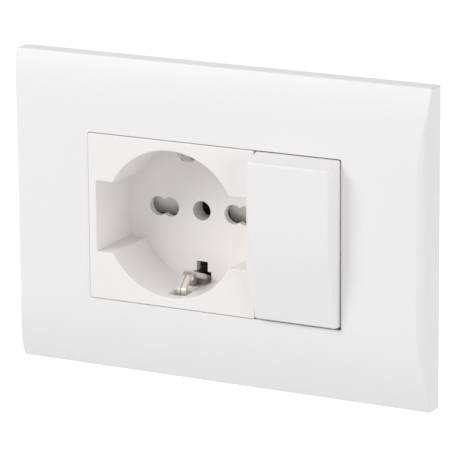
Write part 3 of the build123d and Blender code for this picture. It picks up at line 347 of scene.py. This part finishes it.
class StudioSettings(bpy.types.PropertyGroup):
    """The floor, the light and the camera."""

    floor_drop: FloatProperty(
        name="Floor drop",
        description="How far the floor lies below the unit's lowest edge",
        subtype="DISTANCE",
        unit="LENGTH",
        default=0.09,
    )
    sky: FloatProperty(
        name="Sky",
        description="Strength of the even light from all round",
        default=0.5,
        min=0.0,
    )
    key_power: FloatProperty(
        name="Key light",
        description="Power of the soft lamp at the upper left",
        subtype="POWER",
        unit="POWER",
        default=9.6,
        min=0.0,
    )
    fill_power: FloatProperty(
        name="Fill light",
        description="Power of the soft lamp at the right",
        subtype="POWER",
        unit="POWER",
        default=2.6,
        min=0.0,
    )
    azimuth: FloatProperty(
        name="Azimuth",
        description="How far the camera stands to the right of straight ahead",
        subtype="ANGLE",
        unit="ROTATION",
        default=math.radians(27.948),
    )
    elevation: FloatProperty(
        name="Elevation",
        description="How far the camera looks down",
        subtype="ANGLE",
        unit="ROTATION",
        default=math.radians(14.306),
    )
    roll: FloatProperty(
        name="Roll",
        description="How far the camera is turned about its own axis",
        subtype="ANGLE",
        unit="ROTATION",
        default=math.radians(-0.446),
    )
    distance: FloatProperty(
        name="Distance",
        description="From the camera to the point it aims at",
        subtype="DISTANCE",
        unit="LENGTH",
        default=0.91313,
    )
    lens: FloatProperty(
        name="Focal length",
        description="Focal length on a sensor 36 mm wide",
        subtype="DISTANCE_CAMERA",
        default=276.74,
    )


def new_group(name, inputs, outputs):
    """An empty shader node group with named sockets, given as (name, kind, default)."""
    group = bpy.data.node_groups.new(name, "ShaderNodeTree")
    for label, kind, default in inputs:
        socket = group.interface.new_socket(label, in_out="INPUT", socket_type=kind)
        socket.default_value = default
    for label, kind in outputs:
        group.interface.new_socket(label, in_out="OUTPUT", socket_type=kind)
    return group, group.nodes.new("NodeGroupInput"), group.nodes.new("NodeGroupOutput")


def math_node(tree, operation, a, b):
    """A math node whose operands are sockets or plain numbers; returns its result."""
    node = tree.nodes.new("ShaderNodeMath")
    node.operation = operation
    for socket, value in zip(node.inputs, (a, b)):
        if isinstance(value, bpy.types.NodeSocket):
            tree.links.new(value, socket)
        else:
            socket.default_value = value
    return node.outputs[0]


def noise(tree, vector, scale, detail):
    """A noise texture's value over the surface."""
    node = tree.nodes.new("ShaderNodeTexNoise")
    tree.links.new(vector, node.inputs["Vector"])
    node.inputs["Detail"].default_value = detail
    if isinstance(scale, bpy.types.NodeSocket):
        tree.links.new(scale, node.inputs["Scale"])
    else:
        node.inputs["Scale"].default_value = scale
    return node.outputs["Fac"]


def blend_colors(tree, factor, first, second):
    """A colour mixed from two colour sockets."""
    node = tree.nodes.new("ShaderNodeMix")
    node.data_type = "RGBA"
    tree.links.new(factor, node.inputs["Factor"])
    tree.links.new(first, node.inputs["A"])
    tree.links.new(second, node.inputs["B"])
    return node.outputs["Result"]


def moulded_group():
    """Moulded plastic: a faint flow mottle, a fine mould grain and gloss that follows it."""
    group, entry, leave = new_group(
        "Moulded Plastic",
        (
            ("Color", "NodeSocketColor", (0.8, 0.8, 0.8, 1.0)),
            ("Mottle Color", "NodeSocketColor", (0.75, 0.75, 0.75, 1.0)),
            ("Roughness", "NodeSocketFloat", 0.4),
            ("Gloss Change", "NodeSocketFloat", 0.08),
            ("Grain Scale", "NodeSocketFloat", 2500.0),
            ("Grain Depth", "NodeSocketFloat", 0.00001),
        ),
        (
            ("Color", "NodeSocketColor"),
            ("Roughness", "NodeSocketFloat"),
            ("Normal", "NodeSocketVector"),
        ),
    )
    where = group.nodes.new("ShaderNodeTexCoord").outputs["Object"]
    mottle = noise(group, where, scale=60.0, detail=3.0)
    grain = noise(group, where, scale=entry.outputs["Grain Scale"], detail=2.0)
    color = blend_colors(group, mottle, entry.outputs["Color"], entry.outputs["Mottle Color"])
    swing = math_node(group, "SUBTRACT", mottle, 0.5)
    swing = math_node(group, "MULTIPLY", swing, entry.outputs["Gloss Change"])
    bump = group.nodes.new("ShaderNodeBump")
    bump.inputs["Strength"].default_value = 0.6
    group.links.new(grain, bump.inputs["Height"])
    group.links.new(entry.outputs["Grain Depth"], bump.inputs["Distance"])
    group.links.new(color, leave.inputs["Color"])
    group.links.new(
        math_node(group, "ADD", entry.outputs["Roughness"], swing), leave.inputs["Roughness"]
    )
    group.links.new(bump.outputs["Normal"], leave.inputs["Normal"])
    return group


def worked_group():
    """Worked metal: drawn or rolled streaks along one direction, and patches of tarnish."""
    group, entry, leave = new_group(
        "Worked Metal",
        (
            ("Color", "NodeSocketColor", (0.6, 0.6, 0.6, 1.0)),
            ("Tarnish Color", "NodeSocketColor", (0.4, 0.38, 0.35, 1.0)),
            ("Roughness", "NodeSocketFloat", 0.3),
            ("Streak Stretch", "NodeSocketVector", (1.0, 1.0, 0.05)),
            ("Streak Depth", "NodeSocketFloat", 0.00001),
            ("Streak Gloss", "NodeSocketFloat", 0.35),
        ),
        (
            ("Color", "NodeSocketColor"),
            ("Roughness", "NodeSocketFloat"),
            ("Normal", "NodeSocketVector"),
        ),
    )
    where = group.nodes.new("ShaderNodeTexCoord").outputs["Object"]
    stretch = group.nodes.new("ShaderNodeMapping")
    group.links.new(where, stretch.inputs["Vector"])
    group.links.new(entry.outputs["Streak Stretch"], stretch.inputs["Scale"])
    streaks = noise(group, stretch.outputs["Vector"], scale=4000.0, detail=3.0)
    tarnish = noise(group, where, scale=220.0, detail=4.0)
    color = blend_colors(
        group,
        math_node(group, "MULTIPLY", tarnish, tarnish),
        entry.outputs["Color"],
        entry.outputs["Tarnish Color"],
    )
    swing = math_node(group, "SUBTRACT", streaks, 0.5)
    swing = math_node(group, "MULTIPLY", swing, entry.outputs["Streak Gloss"])
    bump = group.nodes.new("ShaderNodeBump")
    bump.inputs["Strength"].default_value = 0.5
    group.links.new(streaks, bump.inputs["Height"])
    group.links.new(entry.outputs["Streak Depth"], bump.inputs["Distance"])
    group.links.new(color, leave.inputs["Color"])
    group.links.new(
        math_node(group, "ADD", entry.outputs["Roughness"], swing), leave.inputs["Roughness"]
    )
    group.links.new(bump.outputs["Normal"], leave.inputs["Normal"])
    return group


def group_once(name, make):
    """The node group of that name, made on its first use."""
    return bpy.data.node_groups.get(name) or make()


def finish_material(name, group, values, metallic=0.0, **shader):
    """A material whose surface comes from a node group, with the shader's own constants set."""
    material = bpy.data.materials.new(name)
    material.use_nodes = True
    tree = material.node_tree
    surface = tree.nodes["Principled BSDF"]
    surface.inputs["Metallic"].default_value = metallic
    for label, value in shader.items():
        surface.inputs[label.replace("_", " ")].default_value = value
    effect = tree.nodes.new("ShaderNodeGroup")
    effect.node_tree = group
    for label, value in values.items():
        effect.inputs[label].default_value = value
    tree.links.new(effect.outputs["Color"], surface.inputs["Base Color"])
    tree.links.new(effect.outputs["Roughness"], surface.inputs["Roughness"])
    tree.links.new(effect.outputs["Normal"], surface.inputs["Normal"])
    return material


def plastic(name, color, roughness, grain=0.0004, depth=0.000008, mottle=0.985):
    """A moulded plastic of one colour with a slightly deeper mottle."""
    deeper = [c * mottle for c in color]
    values = {
        "Color": (*color, 1.0),
        "Mottle Color": (*deeper, 1.0),
        "Roughness": roughness,
        "Grain Scale": 1.0 / grain,
        "Grain Depth": depth,
    }
    return finish_material(name, group_once("Moulded Plastic", moulded_group), values, IOR=1.49)


def metal(name, color, roughness, stretch=(1.0, 1.0, 0.05), tarnish=0.72, streaks=0.35):
    """A worked metal of one colour with streaks along the direction of the smallest stretch."""
    duller = [c * tarnish for c in color]
    values = {
        "Color": (*color, 1.0),
        "Tarnish Color": (*duller, 1.0),
        "Roughness": roughness,
        "Streak Stretch": stretch,
        "Streak Gloss": streaks,
    }
    return finish_material(name, group_once("Worked Metal", worked_group), values, metallic=1.0)


def dress(node, material):
    """Puts a material on the whole of a carried-over piece."""
    mesh = NODES[node].data
    mesh.materials.clear()
    mesh.materials.append(material)


def add_piece(name, form, material, body="wall_unit"):
    """A piece of one body made from a bmesh, smooth but for its sharp edges."""
    bmesh.ops.recalc_face_normals(form, faces=form.faces)
    mesh = bpy.data.meshes.new(name)
    form.to_mesh(mesh)
    form.free()
    mesh.shade_smooth()
    mesh.set_sharp_from_angle(angle=SHARP_ANGLE)
    mesh.materials.append(material)
    piece = bpy.data.objects.new(name, mesh)
    bpy.context.scene.collection.objects.link(piece)
    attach(piece, body)
    return piece


def join_rings(form, rings):
    """Quads between rings of vertices of the same length, one after another."""
    for low, high in zip(rings, rings[1:]):
        for i in range(len(low)):
            after = (i + 1) % len(low)
            form.faces.new((low[i], low[after], high[after], high[i]))


def rounded_line(corners, radii):
    """A line through flat corners, with the inner ones rounded, in short steps."""
    line = [Vector(corners[0])]
    for before, corner, after, radius in zip(corners, corners[1:], corners[2:], radii):
        corner = Vector(corner)
        back = (Vector(before) - corner).normalized()
        ahead = (Vector(after) - corner).normalized()
        half = back.angle(ahead) / 2
        middle = corner + (back + ahead).normalized() * radius / math.sin(half)
        start = corner + back * radius / math.tan(half) - middle
        turn = math.pi - 2 * half
        if back.x * ahead.y - back.y * ahead.x > 0:
            turn = -turn
        steps = max(3, math.ceil(abs(turn) / BEND_STEP))
        for i in range(steps + 1):
            a = turn * i / steps
            x = start.x * math.cos(a) - start.y * math.sin(a)
            y = start.x * math.sin(a) + start.y * math.cos(a)
            line.append(middle + Vector((x, y)))
    line.append(Vector(corners[-1]))
    fine = []
    for here, there in zip(line, line[1:]):
        steps = max(1, math.ceil((there - here).length))
        fine += [here.lerp(there, i / steps) for i in range(steps)]
    return fine + [line[-1]]


def coined_section(half_width, half_height, radius, lip):
    """The strap's outline, as (across, through) pairs, with the groove and the lip."""
    outline = []
    for quarter in range(4):
        if quarter == 1:
            outline += [(inward - half_width, half_height - deep) for inward, deep in STRAP_GROOVE]
            continue
        across = half_width - radius if quarter in (0, 3) else radius - half_width
        through = half_height - radius if quarter == 0 else radius - half_height
        if quarter == 3:
            root, fold = LIP_WIDTH
            outline.append((half_width - root, LIP_CREASE - half_height))
            outline.append((half_width - fold, -half_height - lip))
            through -= lip
        for step in range(CORNER_STEPS + 1):
            a = math.pi / 2 * (quarter + step / CORNER_STEPS)
            outline.append((across + radius * math.cos(a), through + radius * math.sin(a)))
    return outline


def strap_half_width(t):
    """Half the strap's width at a height in front of the wall: less near the clip's bend."""
    low, high = CLIP_TAPER
    share = min(max((t - low) / (high - low), 0.0), 1.0)
    return STRAP_HALF_WIDTH + share * (CLIP_HALF_WIDTH - STRAP_HALF_WIDTH)


def lip_depth(t):
    """Depth of the rear leg's lip at a height in front of the wall."""
    for (high, start), (low, end) in zip(LIP_ENDS, LIP_ENDS[1:]):
        if low <= t <= high:
            return LIP_DEPTH * (start + (end - start) * (high - t) / (high - low))
    return 0.0


def strap_form(edge):
    """The earth strap: a coined section swept through both clips and the run that joins them."""
    lower = tuple((t, -z) for t, z in reversed(STRAP_CORNERS))
    line = rounded_line(STRAP_CORNERS + lower, STRAP_BENDS + STRAP_BENDS[::-1])
    bevel = edge * 0.5
    line.insert(1, line[0] + (line[1] - line[0]).normalized() * bevel)
    line.insert(-1, line[-1] + (line[-2] - line[-1]).normalized() * bevel)
    form = bmesh.new()
    rings = []
    for i, point in enumerate(line):
        along = (line[min(i + 1, len(line) - 1)] - line[max(i - 1, 0)]).normalized()
        inset = bevel if i in (0, len(line) - 1) else 0.0
        section = coined_section(
            strap_half_width(point.x) - inset,
            STRAP_THICKNESS / 2 - inset,
            edge - inset,
            lip_depth(point.x),
        )
        ring = []
        for across, through in section:
            t, z = point.x - through * along.y, point.y + through * along.x
            ring.append(form.verts.new(Vector((STRAP_MIDDLE + across, -t, z)) * MM))
        rings.append(ring)
    join_rings(form, rings)
    form.faces.new(rings[0])
    form.faces.new(rings[-1])
    return form


def coil_form(spring):
    """The springs of one kind: round wire wound with a closed turn at each end."""
    form = bmesh.new()
    axis = Vector(spring.axis)
    side = axis.orthogonal().normalized()
    other = axis.cross(side)
    open_pitch = (spring.length - 3 * spring.wire) / (spring.turns - 2)
    for foot in spring.feet:
        rings = []
        height = spring.wire / 2
        for i in range(spring.turns * COIL_STEPS + 1):
            closed = i <= COIL_STEPS or i > (spring.turns - 1) * COIL_STEPS
            pitch = spring.wire if closed else open_pitch
            height += pitch / COIL_STEPS if i else 0.0
            a = 2 * math.pi * i / COIL_STEPS
            radial = side * math.cos(a) + other * math.sin(a)
            ahead = (other * math.cos(a) - side * math.sin(a)) * spring.radius
            ahead = (ahead + axis * pitch / (2 * math.pi)).normalized()
            across = ahead.cross(radial)
            middle = Vector(foot) + axis * height + radial * spring.radius
            ring = []
            for k in range(WIRE_SIDES):
                p = 2 * math.pi * k / WIRE_SIDES
                offset = (radial * math.cos(p) + across * math.sin(p)) * spring.wire / 2
                ring.append(form.verts.new((middle + offset) * MM))
            rings.append(ring)
        join_rings(form, rings)
        form.faces.new(rings[0])
        form.faces.new(rings[-1])
    return form


def turned_ring(form, radius, height):
    """A level ring of vertices round the screw's own axis."""
    angles = [2 * math.pi * i / SCREW_SIDES for i in range(SCREW_SIDES)]
    return [form.verts.new((radius * math.cos(a), radius * math.sin(a), height)) for a in angles]


def cut_thread(form, core, outer, low, high, pitch):
    """A closed helical thread between two heights, which runs out to the core at both ends."""
    turns = math.ceil((high - low) / pitch) + 1
    rows = []
    for turn in range(-1, turns):
        for phase, crest in THREAD_PROFILE:
            radius = outer if crest else core
            row = []
            for i in range(SCREW_SIDES + 1):
                height = low + (turn + phase + i / SCREW_SIDES) * pitch
                held = min(max(height, low), high)
                chamfer = core + min(held - low, high - held)
                shown = core if held != height else min(radius, max(chamfer, core))
                a = 2 * math.pi * i / SCREW_SIDES
                row.append(form.verts.new((shown * math.cos(a), shown * math.sin(a), held)))
            rows.append(row)
    for below, above in zip(rows, rows[1:]):
        for i in range(SCREW_SIDES):
            form.faces.new((below[i], below[i + 1], above[i + 1], above[i]))


def screw_form(screw, depth):
    """One screw that stands on its tip at the origin, with its thread, neck and crowned head."""
    form = bmesh.new()
    core = screw.shank_radius - depth * screw.pitch
    neck_low = screw.shank_length
    head_low = neck_low + screw.neck_length
    head_high = head_low + screw.head_height
    cut_thread(form, core, screw.shank_radius, 0.0, neck_low, screw.pitch)
    tip = turned_ring(form, core, 0.0)
    form.faces.new(tip)
    profile = [(core, neck_low)]
    if screw.neck_length:
        profile += [(screw.neck_radius, neck_low), (screw.neck_radius, head_low)]
    rim = screw.head_radius
    profile += [(rim - HEAD_CHAMFER, head_low), (rim, head_low + HEAD_CHAMFER)]
    for step in range(CROWN_STEPS + 1):
        a = math.pi / 2 * step / CROWN_STEPS
        inward = screw.crown * (1 - math.cos(a))
        below = screw.crown * (1 - math.sin(a))
        profile.append((rim - inward, head_high - below))
    rings = [turned_ring(form, radius, height) for radius, height in profile]
    join_rings(form, rings)
    form.faces.new(rings[-1])
    bmesh.ops.remove_doubles(form, verts=form.verts, dist=WELD_DISTANCE)
    bmesh.ops.dissolve_degenerate(form, edges=form.edges, dist=WELD_DISTANCE)
    bmesh.ops.recalc_face_normals(form, faces=form.faces)
    return form


def cut_slot(form, screw):
    """The same form with the driver slot taken out of its head."""
    top = screw.shank_length + screw.neck_length + screw.head_height
    turn = Matrix.Rotation(math.radians(screw.slot_turn), 4, "Z")
    length = 2 * screw.head_radius + 2 * SLOT_OVERSHOOT
    size = Matrix.Diagonal((length, SLOT_WIDTH, 2 * SLOT_DEPTH, 1.0))
    place = Matrix.Translation((0.0, 0.0, top)) @ turn @ size
    cutter = bmesh.new()
    bmesh.ops.create_cube(cutter, size=1.0, matrix=place)
    solids = []
    for name, source in (("Screw_Blank", form), ("Slot_Cutter", cutter)):
        mesh = bpy.data.meshes.new(name)
        source.to_mesh(mesh)
        source.free()
        solids.append(bpy.data.objects.new(name, mesh))
        bpy.context.scene.collection.objects.link(solids[-1])
    blank, knife = solids
    slot = blank.modifiers.new("Slot", "BOOLEAN")
    slot.operation = "DIFFERENCE"
    slot.solver = "EXACT"
    slot.object = knife
    shown = blank.evaluated_get(bpy.context.evaluated_depsgraph_get())
    slotted = bmesh.new()
    slotted.from_mesh(shown.to_mesh())
    shown.to_mesh_clear()
    for solid in solids:
        mesh = solid.data
        bpy.data.objects.remove(solid)
        bpy.data.meshes.remove(mesh)
    return slotted


class WALLUNIT_OT_white_shell(bpy.types.Operator):
    """Finish the cover plate, socket front and rocker key in satin white plastic"""

    bl_idname = "wall_unit.white_shell"
    bl_label = "White Shell"

    def execute(self, context):
        shell = context.scene.wall_unit_shell
        for node, setting in WHITE_SHELL:
            name = node.replace("_", " ").title() + " White"
            dress(node, plastic(name, getattr(shell, setting), shell.roughness, shell.grain))
        return {"FINISHED"}


class WALLUNIT_OT_housings(bpy.types.Operator):
    """Finish the support frame, the rear housings and the mouldings inside them"""

    bl_idname = "wall_unit.housings"
    bl_label = "Housings"

    def execute(self, context):
        colors = context.scene.wall_unit_housing
        # Painted shade: the rear housings take a grey darker than their own, which stands for the
        # shade inside the window under the strap
        housing = plastic(
            "Housing Grey",
            colors.housing,
            roughness=0.5,
            grain=0.0007,
            depth=0.00002,
            mottle=0.95,
        )
        inner = plastic(
            "Inner Natural White",
            colors.inner,
            roughness=0.42,
            grain=0.0006,
            depth=0.00001,
            mottle=0.96,
        )
        support = plastic(
            "Glass Filled Grey",
            colors.support,
            roughness=0.58,
            grain=0.0005,
            depth=0.00003,
            mottle=0.86,
        )
        shutter = plastic("Shutter Pale Grey", colors.shutter, roughness=0.45, grain=0.0005)
        for node in GREY_HOUSINGS:
            dress(node, housing)
        for node in INNER_MOULDINGS:
            dress(node, inner)
        dress("mounting_frame", support)
        dress("shutter", shutter)
        return {"FINISHED"}


class WALLUNIT_OT_contacts(bpy.types.Operator):
    """Finish the contact strips, brass pillars and silver rivets"""

    bl_idname = "wall_unit.contacts"
    bl_label = "Contacts"

    def execute(self, context):
        colors = context.scene.wall_unit_metal
        # Painted shade in part: the strips' colour is darker than their own metal and stands for
        # the shade at the bottom of the pin holes
        strip = metal("Rolled Contact Strip", colors.bronze_and_painted_shade, roughness=0.36)
        pillar = metal("Turned Brass", colors.brass, roughness=0.26, stretch=(1.0, 0.05, 1.0))
        silver = metal(
            "Silver Rivet", colors.silver, roughness=0.24, stretch=(1.0, 1.0, 1.0), tarnish=0.85
        )
        for node in CONTACT_STRIPS:
            dress(node, strip)
        for node in BRASS_PILLARS:
            dress(node, pillar)
        for node in SILVER_RIVETS:
            dress(node, silver)
        return {"FINISHED"}


class WALLUNIT_OT_springs(bpy.types.Operator):
    """Build the shutter's and the plunger's coil springs"""

    bl_idname = "wall_unit.springs"
    bl_label = "Springs"

    def execute(self, context):
        colors = context.scene.wall_unit_metal
        wire = metal("Drawn Spring Wire", colors.wire, roughness=0.3, stretch=(0.2, 0.2, 1.0))
        for spring in SPRINGS:
            piece = add_piece(spring.name, coil_form(spring), wire, spring.body)
            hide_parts(spring.node)
            dress(spring.node, wire)
            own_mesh(piece)
        return {"FINISHED"}


class WALLUNIT_OT_earth_strap(bpy.types.Operator):
    """Build the nickel plated earth strap with the two side clips, their groove and their lip"""

    bl_idname = "wall_unit.earth_strap"
    bl_label = "Earth Strap"

    def execute(self, context):
        colors = context.scene.wall_unit_metal
        nickel = metal(
            "Nickel Plated Strip",
            colors.nickel,
            roughness=0.27,
            stretch=(1.0, 0.12, 0.12),
            tarnish=0.9,
            streaks=0.1,
        )
        form = strap_form(colors.strap_edge / MM)
        strap = add_piece("Earth_Strap", form, nickel)
        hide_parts("earth_strap")
        dress("earth_strap", nickel)
        return {"FINISHED"}


class WALLUNIT_OT_screws(bpy.types.Operator):
    """Build the zinc plated screws with their threads and slotted heads"""

    bl_idname = "wall_unit.screws"
    bl_label = "Screws"

    def execute(self, context):
        colors = context.scene.wall_unit_metal
        zinc = metal(
            "Zinc Plating", colors.zinc, roughness=0.3, stretch=(1.0, 1.0, 1.0), tarnish=0.8
        )
        for screw in SCREWS:
            single = cut_slot(screw_form(screw, colors.thread_depth), screw)
            upright = Vector(screw.direction).to_track_quat("Z", "X").to_matrix().to_4x4()
            whole = bmesh.new()
            for tip in screw.tips:
                place = Matrix.Scale(MM, 4) @ Matrix.Translation(tip) @ upright
                copy = single.copy()
                bmesh.ops.transform(copy, matrix=place, verts=copy.verts)
                mesh = bpy.data.meshes.new("Screw_Copy")
                copy.to_mesh(mesh)
                copy.free()
                whole.from_mesh(mesh)
                bpy.data.meshes.remove(mesh)
            single.free()
            piece = add_piece(screw.name, whole, zinc)
            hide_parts(screw.node)
            dress(screw.node, zinc)
        return {"FINISHED"}


def add_lamp(name, place, size, power):
    """A square area lamp that points at the origin."""
    data = bpy.data.lights.new(name, "AREA")
    data.shape = "SQUARE"
    data.size = size
    data.energy = power
    lamp = bpy.data.objects.new(name, data)
    lamp.location = place
    lamp.rotation_euler = (-Vector(place)).to_track_quat("-Z", "Y").to_euler()
    bpy.context.scene.collection.objects.link(lamp)


def seen_directly(tree):
    """A mask that is 1 for what the camera, a reflection or a transmitted ray sees."""
    rays = tree.nodes.new("ShaderNodeLightPath")
    seen = math_node(
        tree, "MAXIMUM", rays.outputs["Is Camera Ray"], rays.outputs["Is Glossy Ray"]
    )
    return math_node(tree, "MAXIMUM", seen, rays.outputs["Is Transmission Ray"])


class WALLUNIT_OT_studio(bpy.types.Operator):
    """Build the pale floor, the soft light and the camera"""

    bl_idname = "wall_unit.studio"
    bl_label = "Studio"

    def execute(self, context):
        studio = context.scene.wall_unit_studio
        self.add_floor(studio)
        self.light_world(context.scene, studio)
        add_lamp("Key", KEY_PLACE, KEY_SIZE, studio.key_power)
        add_lamp("Fill", FILL_PLACE, FILL_SIZE, studio.fill_power)
        self.add_camera(context.scene, studio)
        context.scene.view_settings.view_transform = "Standard"
        return {"FINISHED"}

    def add_floor(self, studio):
        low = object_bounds()[0].z - studio.floor_drop
        mesh = bpy.data.meshes.new("Floor")
        form = bmesh.new()
        bmesh.ops.create_grid(form, x_segments=4, y_segments=4, size=FLOOR_REACH)
        bmesh.ops.translate(form, vec=(0.0, 0.0, low), verts=form.verts)
        form.to_mesh(mesh)
        form.free()
        floor = bpy.data.objects.new("Floor", mesh)
        bpy.context.scene.collection.objects.link(floor)
        floor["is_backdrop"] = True
        material = bpy.data.materials.new("Pale Floor")
        material.use_nodes = True
        tree = material.node_tree
        surface = tree.nodes["Principled BSDF"]
        surface.inputs["Base Color"].default_value = (0.8, 0.8, 0.8, 1.0)
        surface.inputs["Roughness"].default_value = 0.9
        surface.inputs["Emission Color"].default_value = WHITE
        lift = math_node(tree, "MULTIPLY", seen_directly(tree), FLOOR_LIFT)
        tree.links.new(lift, surface.inputs["Emission Strength"])
        mesh.materials.append(material)

    def light_world(self, scene, studio):
        world = bpy.data.worlds.new("Studio")
        scene.world = world
        world.use_nodes = True
        tree = world.node_tree
        sky = tree.nodes["Background"]
        sky.inputs["Color"].default_value = WHITE
        lift = math_node(tree, "MULTIPLY", seen_directly(tree), 1.0 - studio.sky)
        tree.links.new(math_node(tree, "ADD", lift, studio.sky), sky.inputs["Strength"])

    def add_camera(self, scene, studio):
        data = bpy.data.cameras.new("Camera")
        data.sensor_width = 36.0
        data.lens = studio.lens
        data.clip_start = 0.05
        data.clip_end = 50.0
        camera = bpy.data.objects.new("Camera", data)
        scene.collection.objects.link(camera)
        scene.camera = camera
        turn, rise = studio.azimuth, studio.elevation
        away = math.cos(rise)
        back = Vector((math.sin(turn) * away, -math.cos(turn) * away, math.sin(rise)))
        right = Vector((math.cos(turn), math.sin(turn), 0.0))
        up = back.cross(right)
        rolled_right = right * math.cos(studio.roll) + up * math.sin(studio.roll)
        rolled_up = up * math.cos(studio.roll) - right * math.sin(studio.roll)
        facing = Matrix((rolled_right, rolled_up, back)).transposed().to_4x4()
        stand = Vector(CAMERA_AIM) + back * studio.distance
        camera.matrix_world = Matrix.Translation(stand) @ facing


class WALLUNIT_PT_panel(bpy.types.Panel):
    """The wall unit's finishes, in the order in which they are made"""

    bl_idname = "WALLUNIT_PT_panel"
    bl_label = "Wall Unit"
    bl_space_type = "VIEW_3D"
    bl_region_type = "UI"
    bl_category = "Wall Unit"

    def draw(self, context):
        scene = context.scene
        groups = (
            (scene.wall_unit_shell, (WALLUNIT_OT_white_shell,)),
            (scene.wall_unit_housing, (WALLUNIT_OT_housings,)),
            (
                scene.wall_unit_metal,
                (
                    WALLUNIT_OT_contacts,
                    WALLUNIT_OT_springs,
                    WALLUNIT_OT_earth_strap,
                    WALLUNIT_OT_screws,
                ),
            ),
            (scene.wall_unit_studio, (WALLUNIT_OT_studio,)),
        )
        for settings, operators in groups:
            box = self.layout.box()
            for label in settings.bl_rna.properties.keys():
                if label not in ("name", "rna_type"):
                    box.prop(settings, label)
            for operator in operators:
                box.operator(operator.bl_idname)


SETTINGS = {
    "wall_unit_shell": ShellSettings,
    "wall_unit_housing": HousingSettings,
    "wall_unit_metal": MetalSettings,
    "wall_unit_studio": StudioSettings,
}
CLASSES = (
    *SETTINGS.values(),
    WALLUNIT_OT_white_shell,
    WALLUNIT_OT_housings,
    WALLUNIT_OT_contacts,
    WALLUNIT_OT_springs,
    WALLUNIT_OT_earth_strap,
    WALLUNIT_OT_screws,
    WALLUNIT_OT_studio,
    WALLUNIT_PT_panel,
)


def register():
    for cls in CLASSES:
        bpy.utils.register_class(cls)
    for name, cls in SETTINGS.items():
        setattr(bpy.types.Scene, name, PointerProperty(type=cls))


def unregister():
    for name in SETTINGS:
        delattr(bpy.types.Scene, name)
    for cls in reversed(CLASSES):
        bpy.utils.unregister_class(cls)


def main():
    register()
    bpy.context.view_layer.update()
    bpy.ops.wall_unit.studio()
    bpy.ops.wall_unit.white_shell()
    bpy.ops.wall_unit.housings()
    bpy.ops.wall_unit.contacts()
    bpy.ops.wall_unit.springs()
    bpy.ops.wall_unit.earth_strap()
    bpy.ops.wall_unit.screws()


if __name__ == "__main__":
    main()
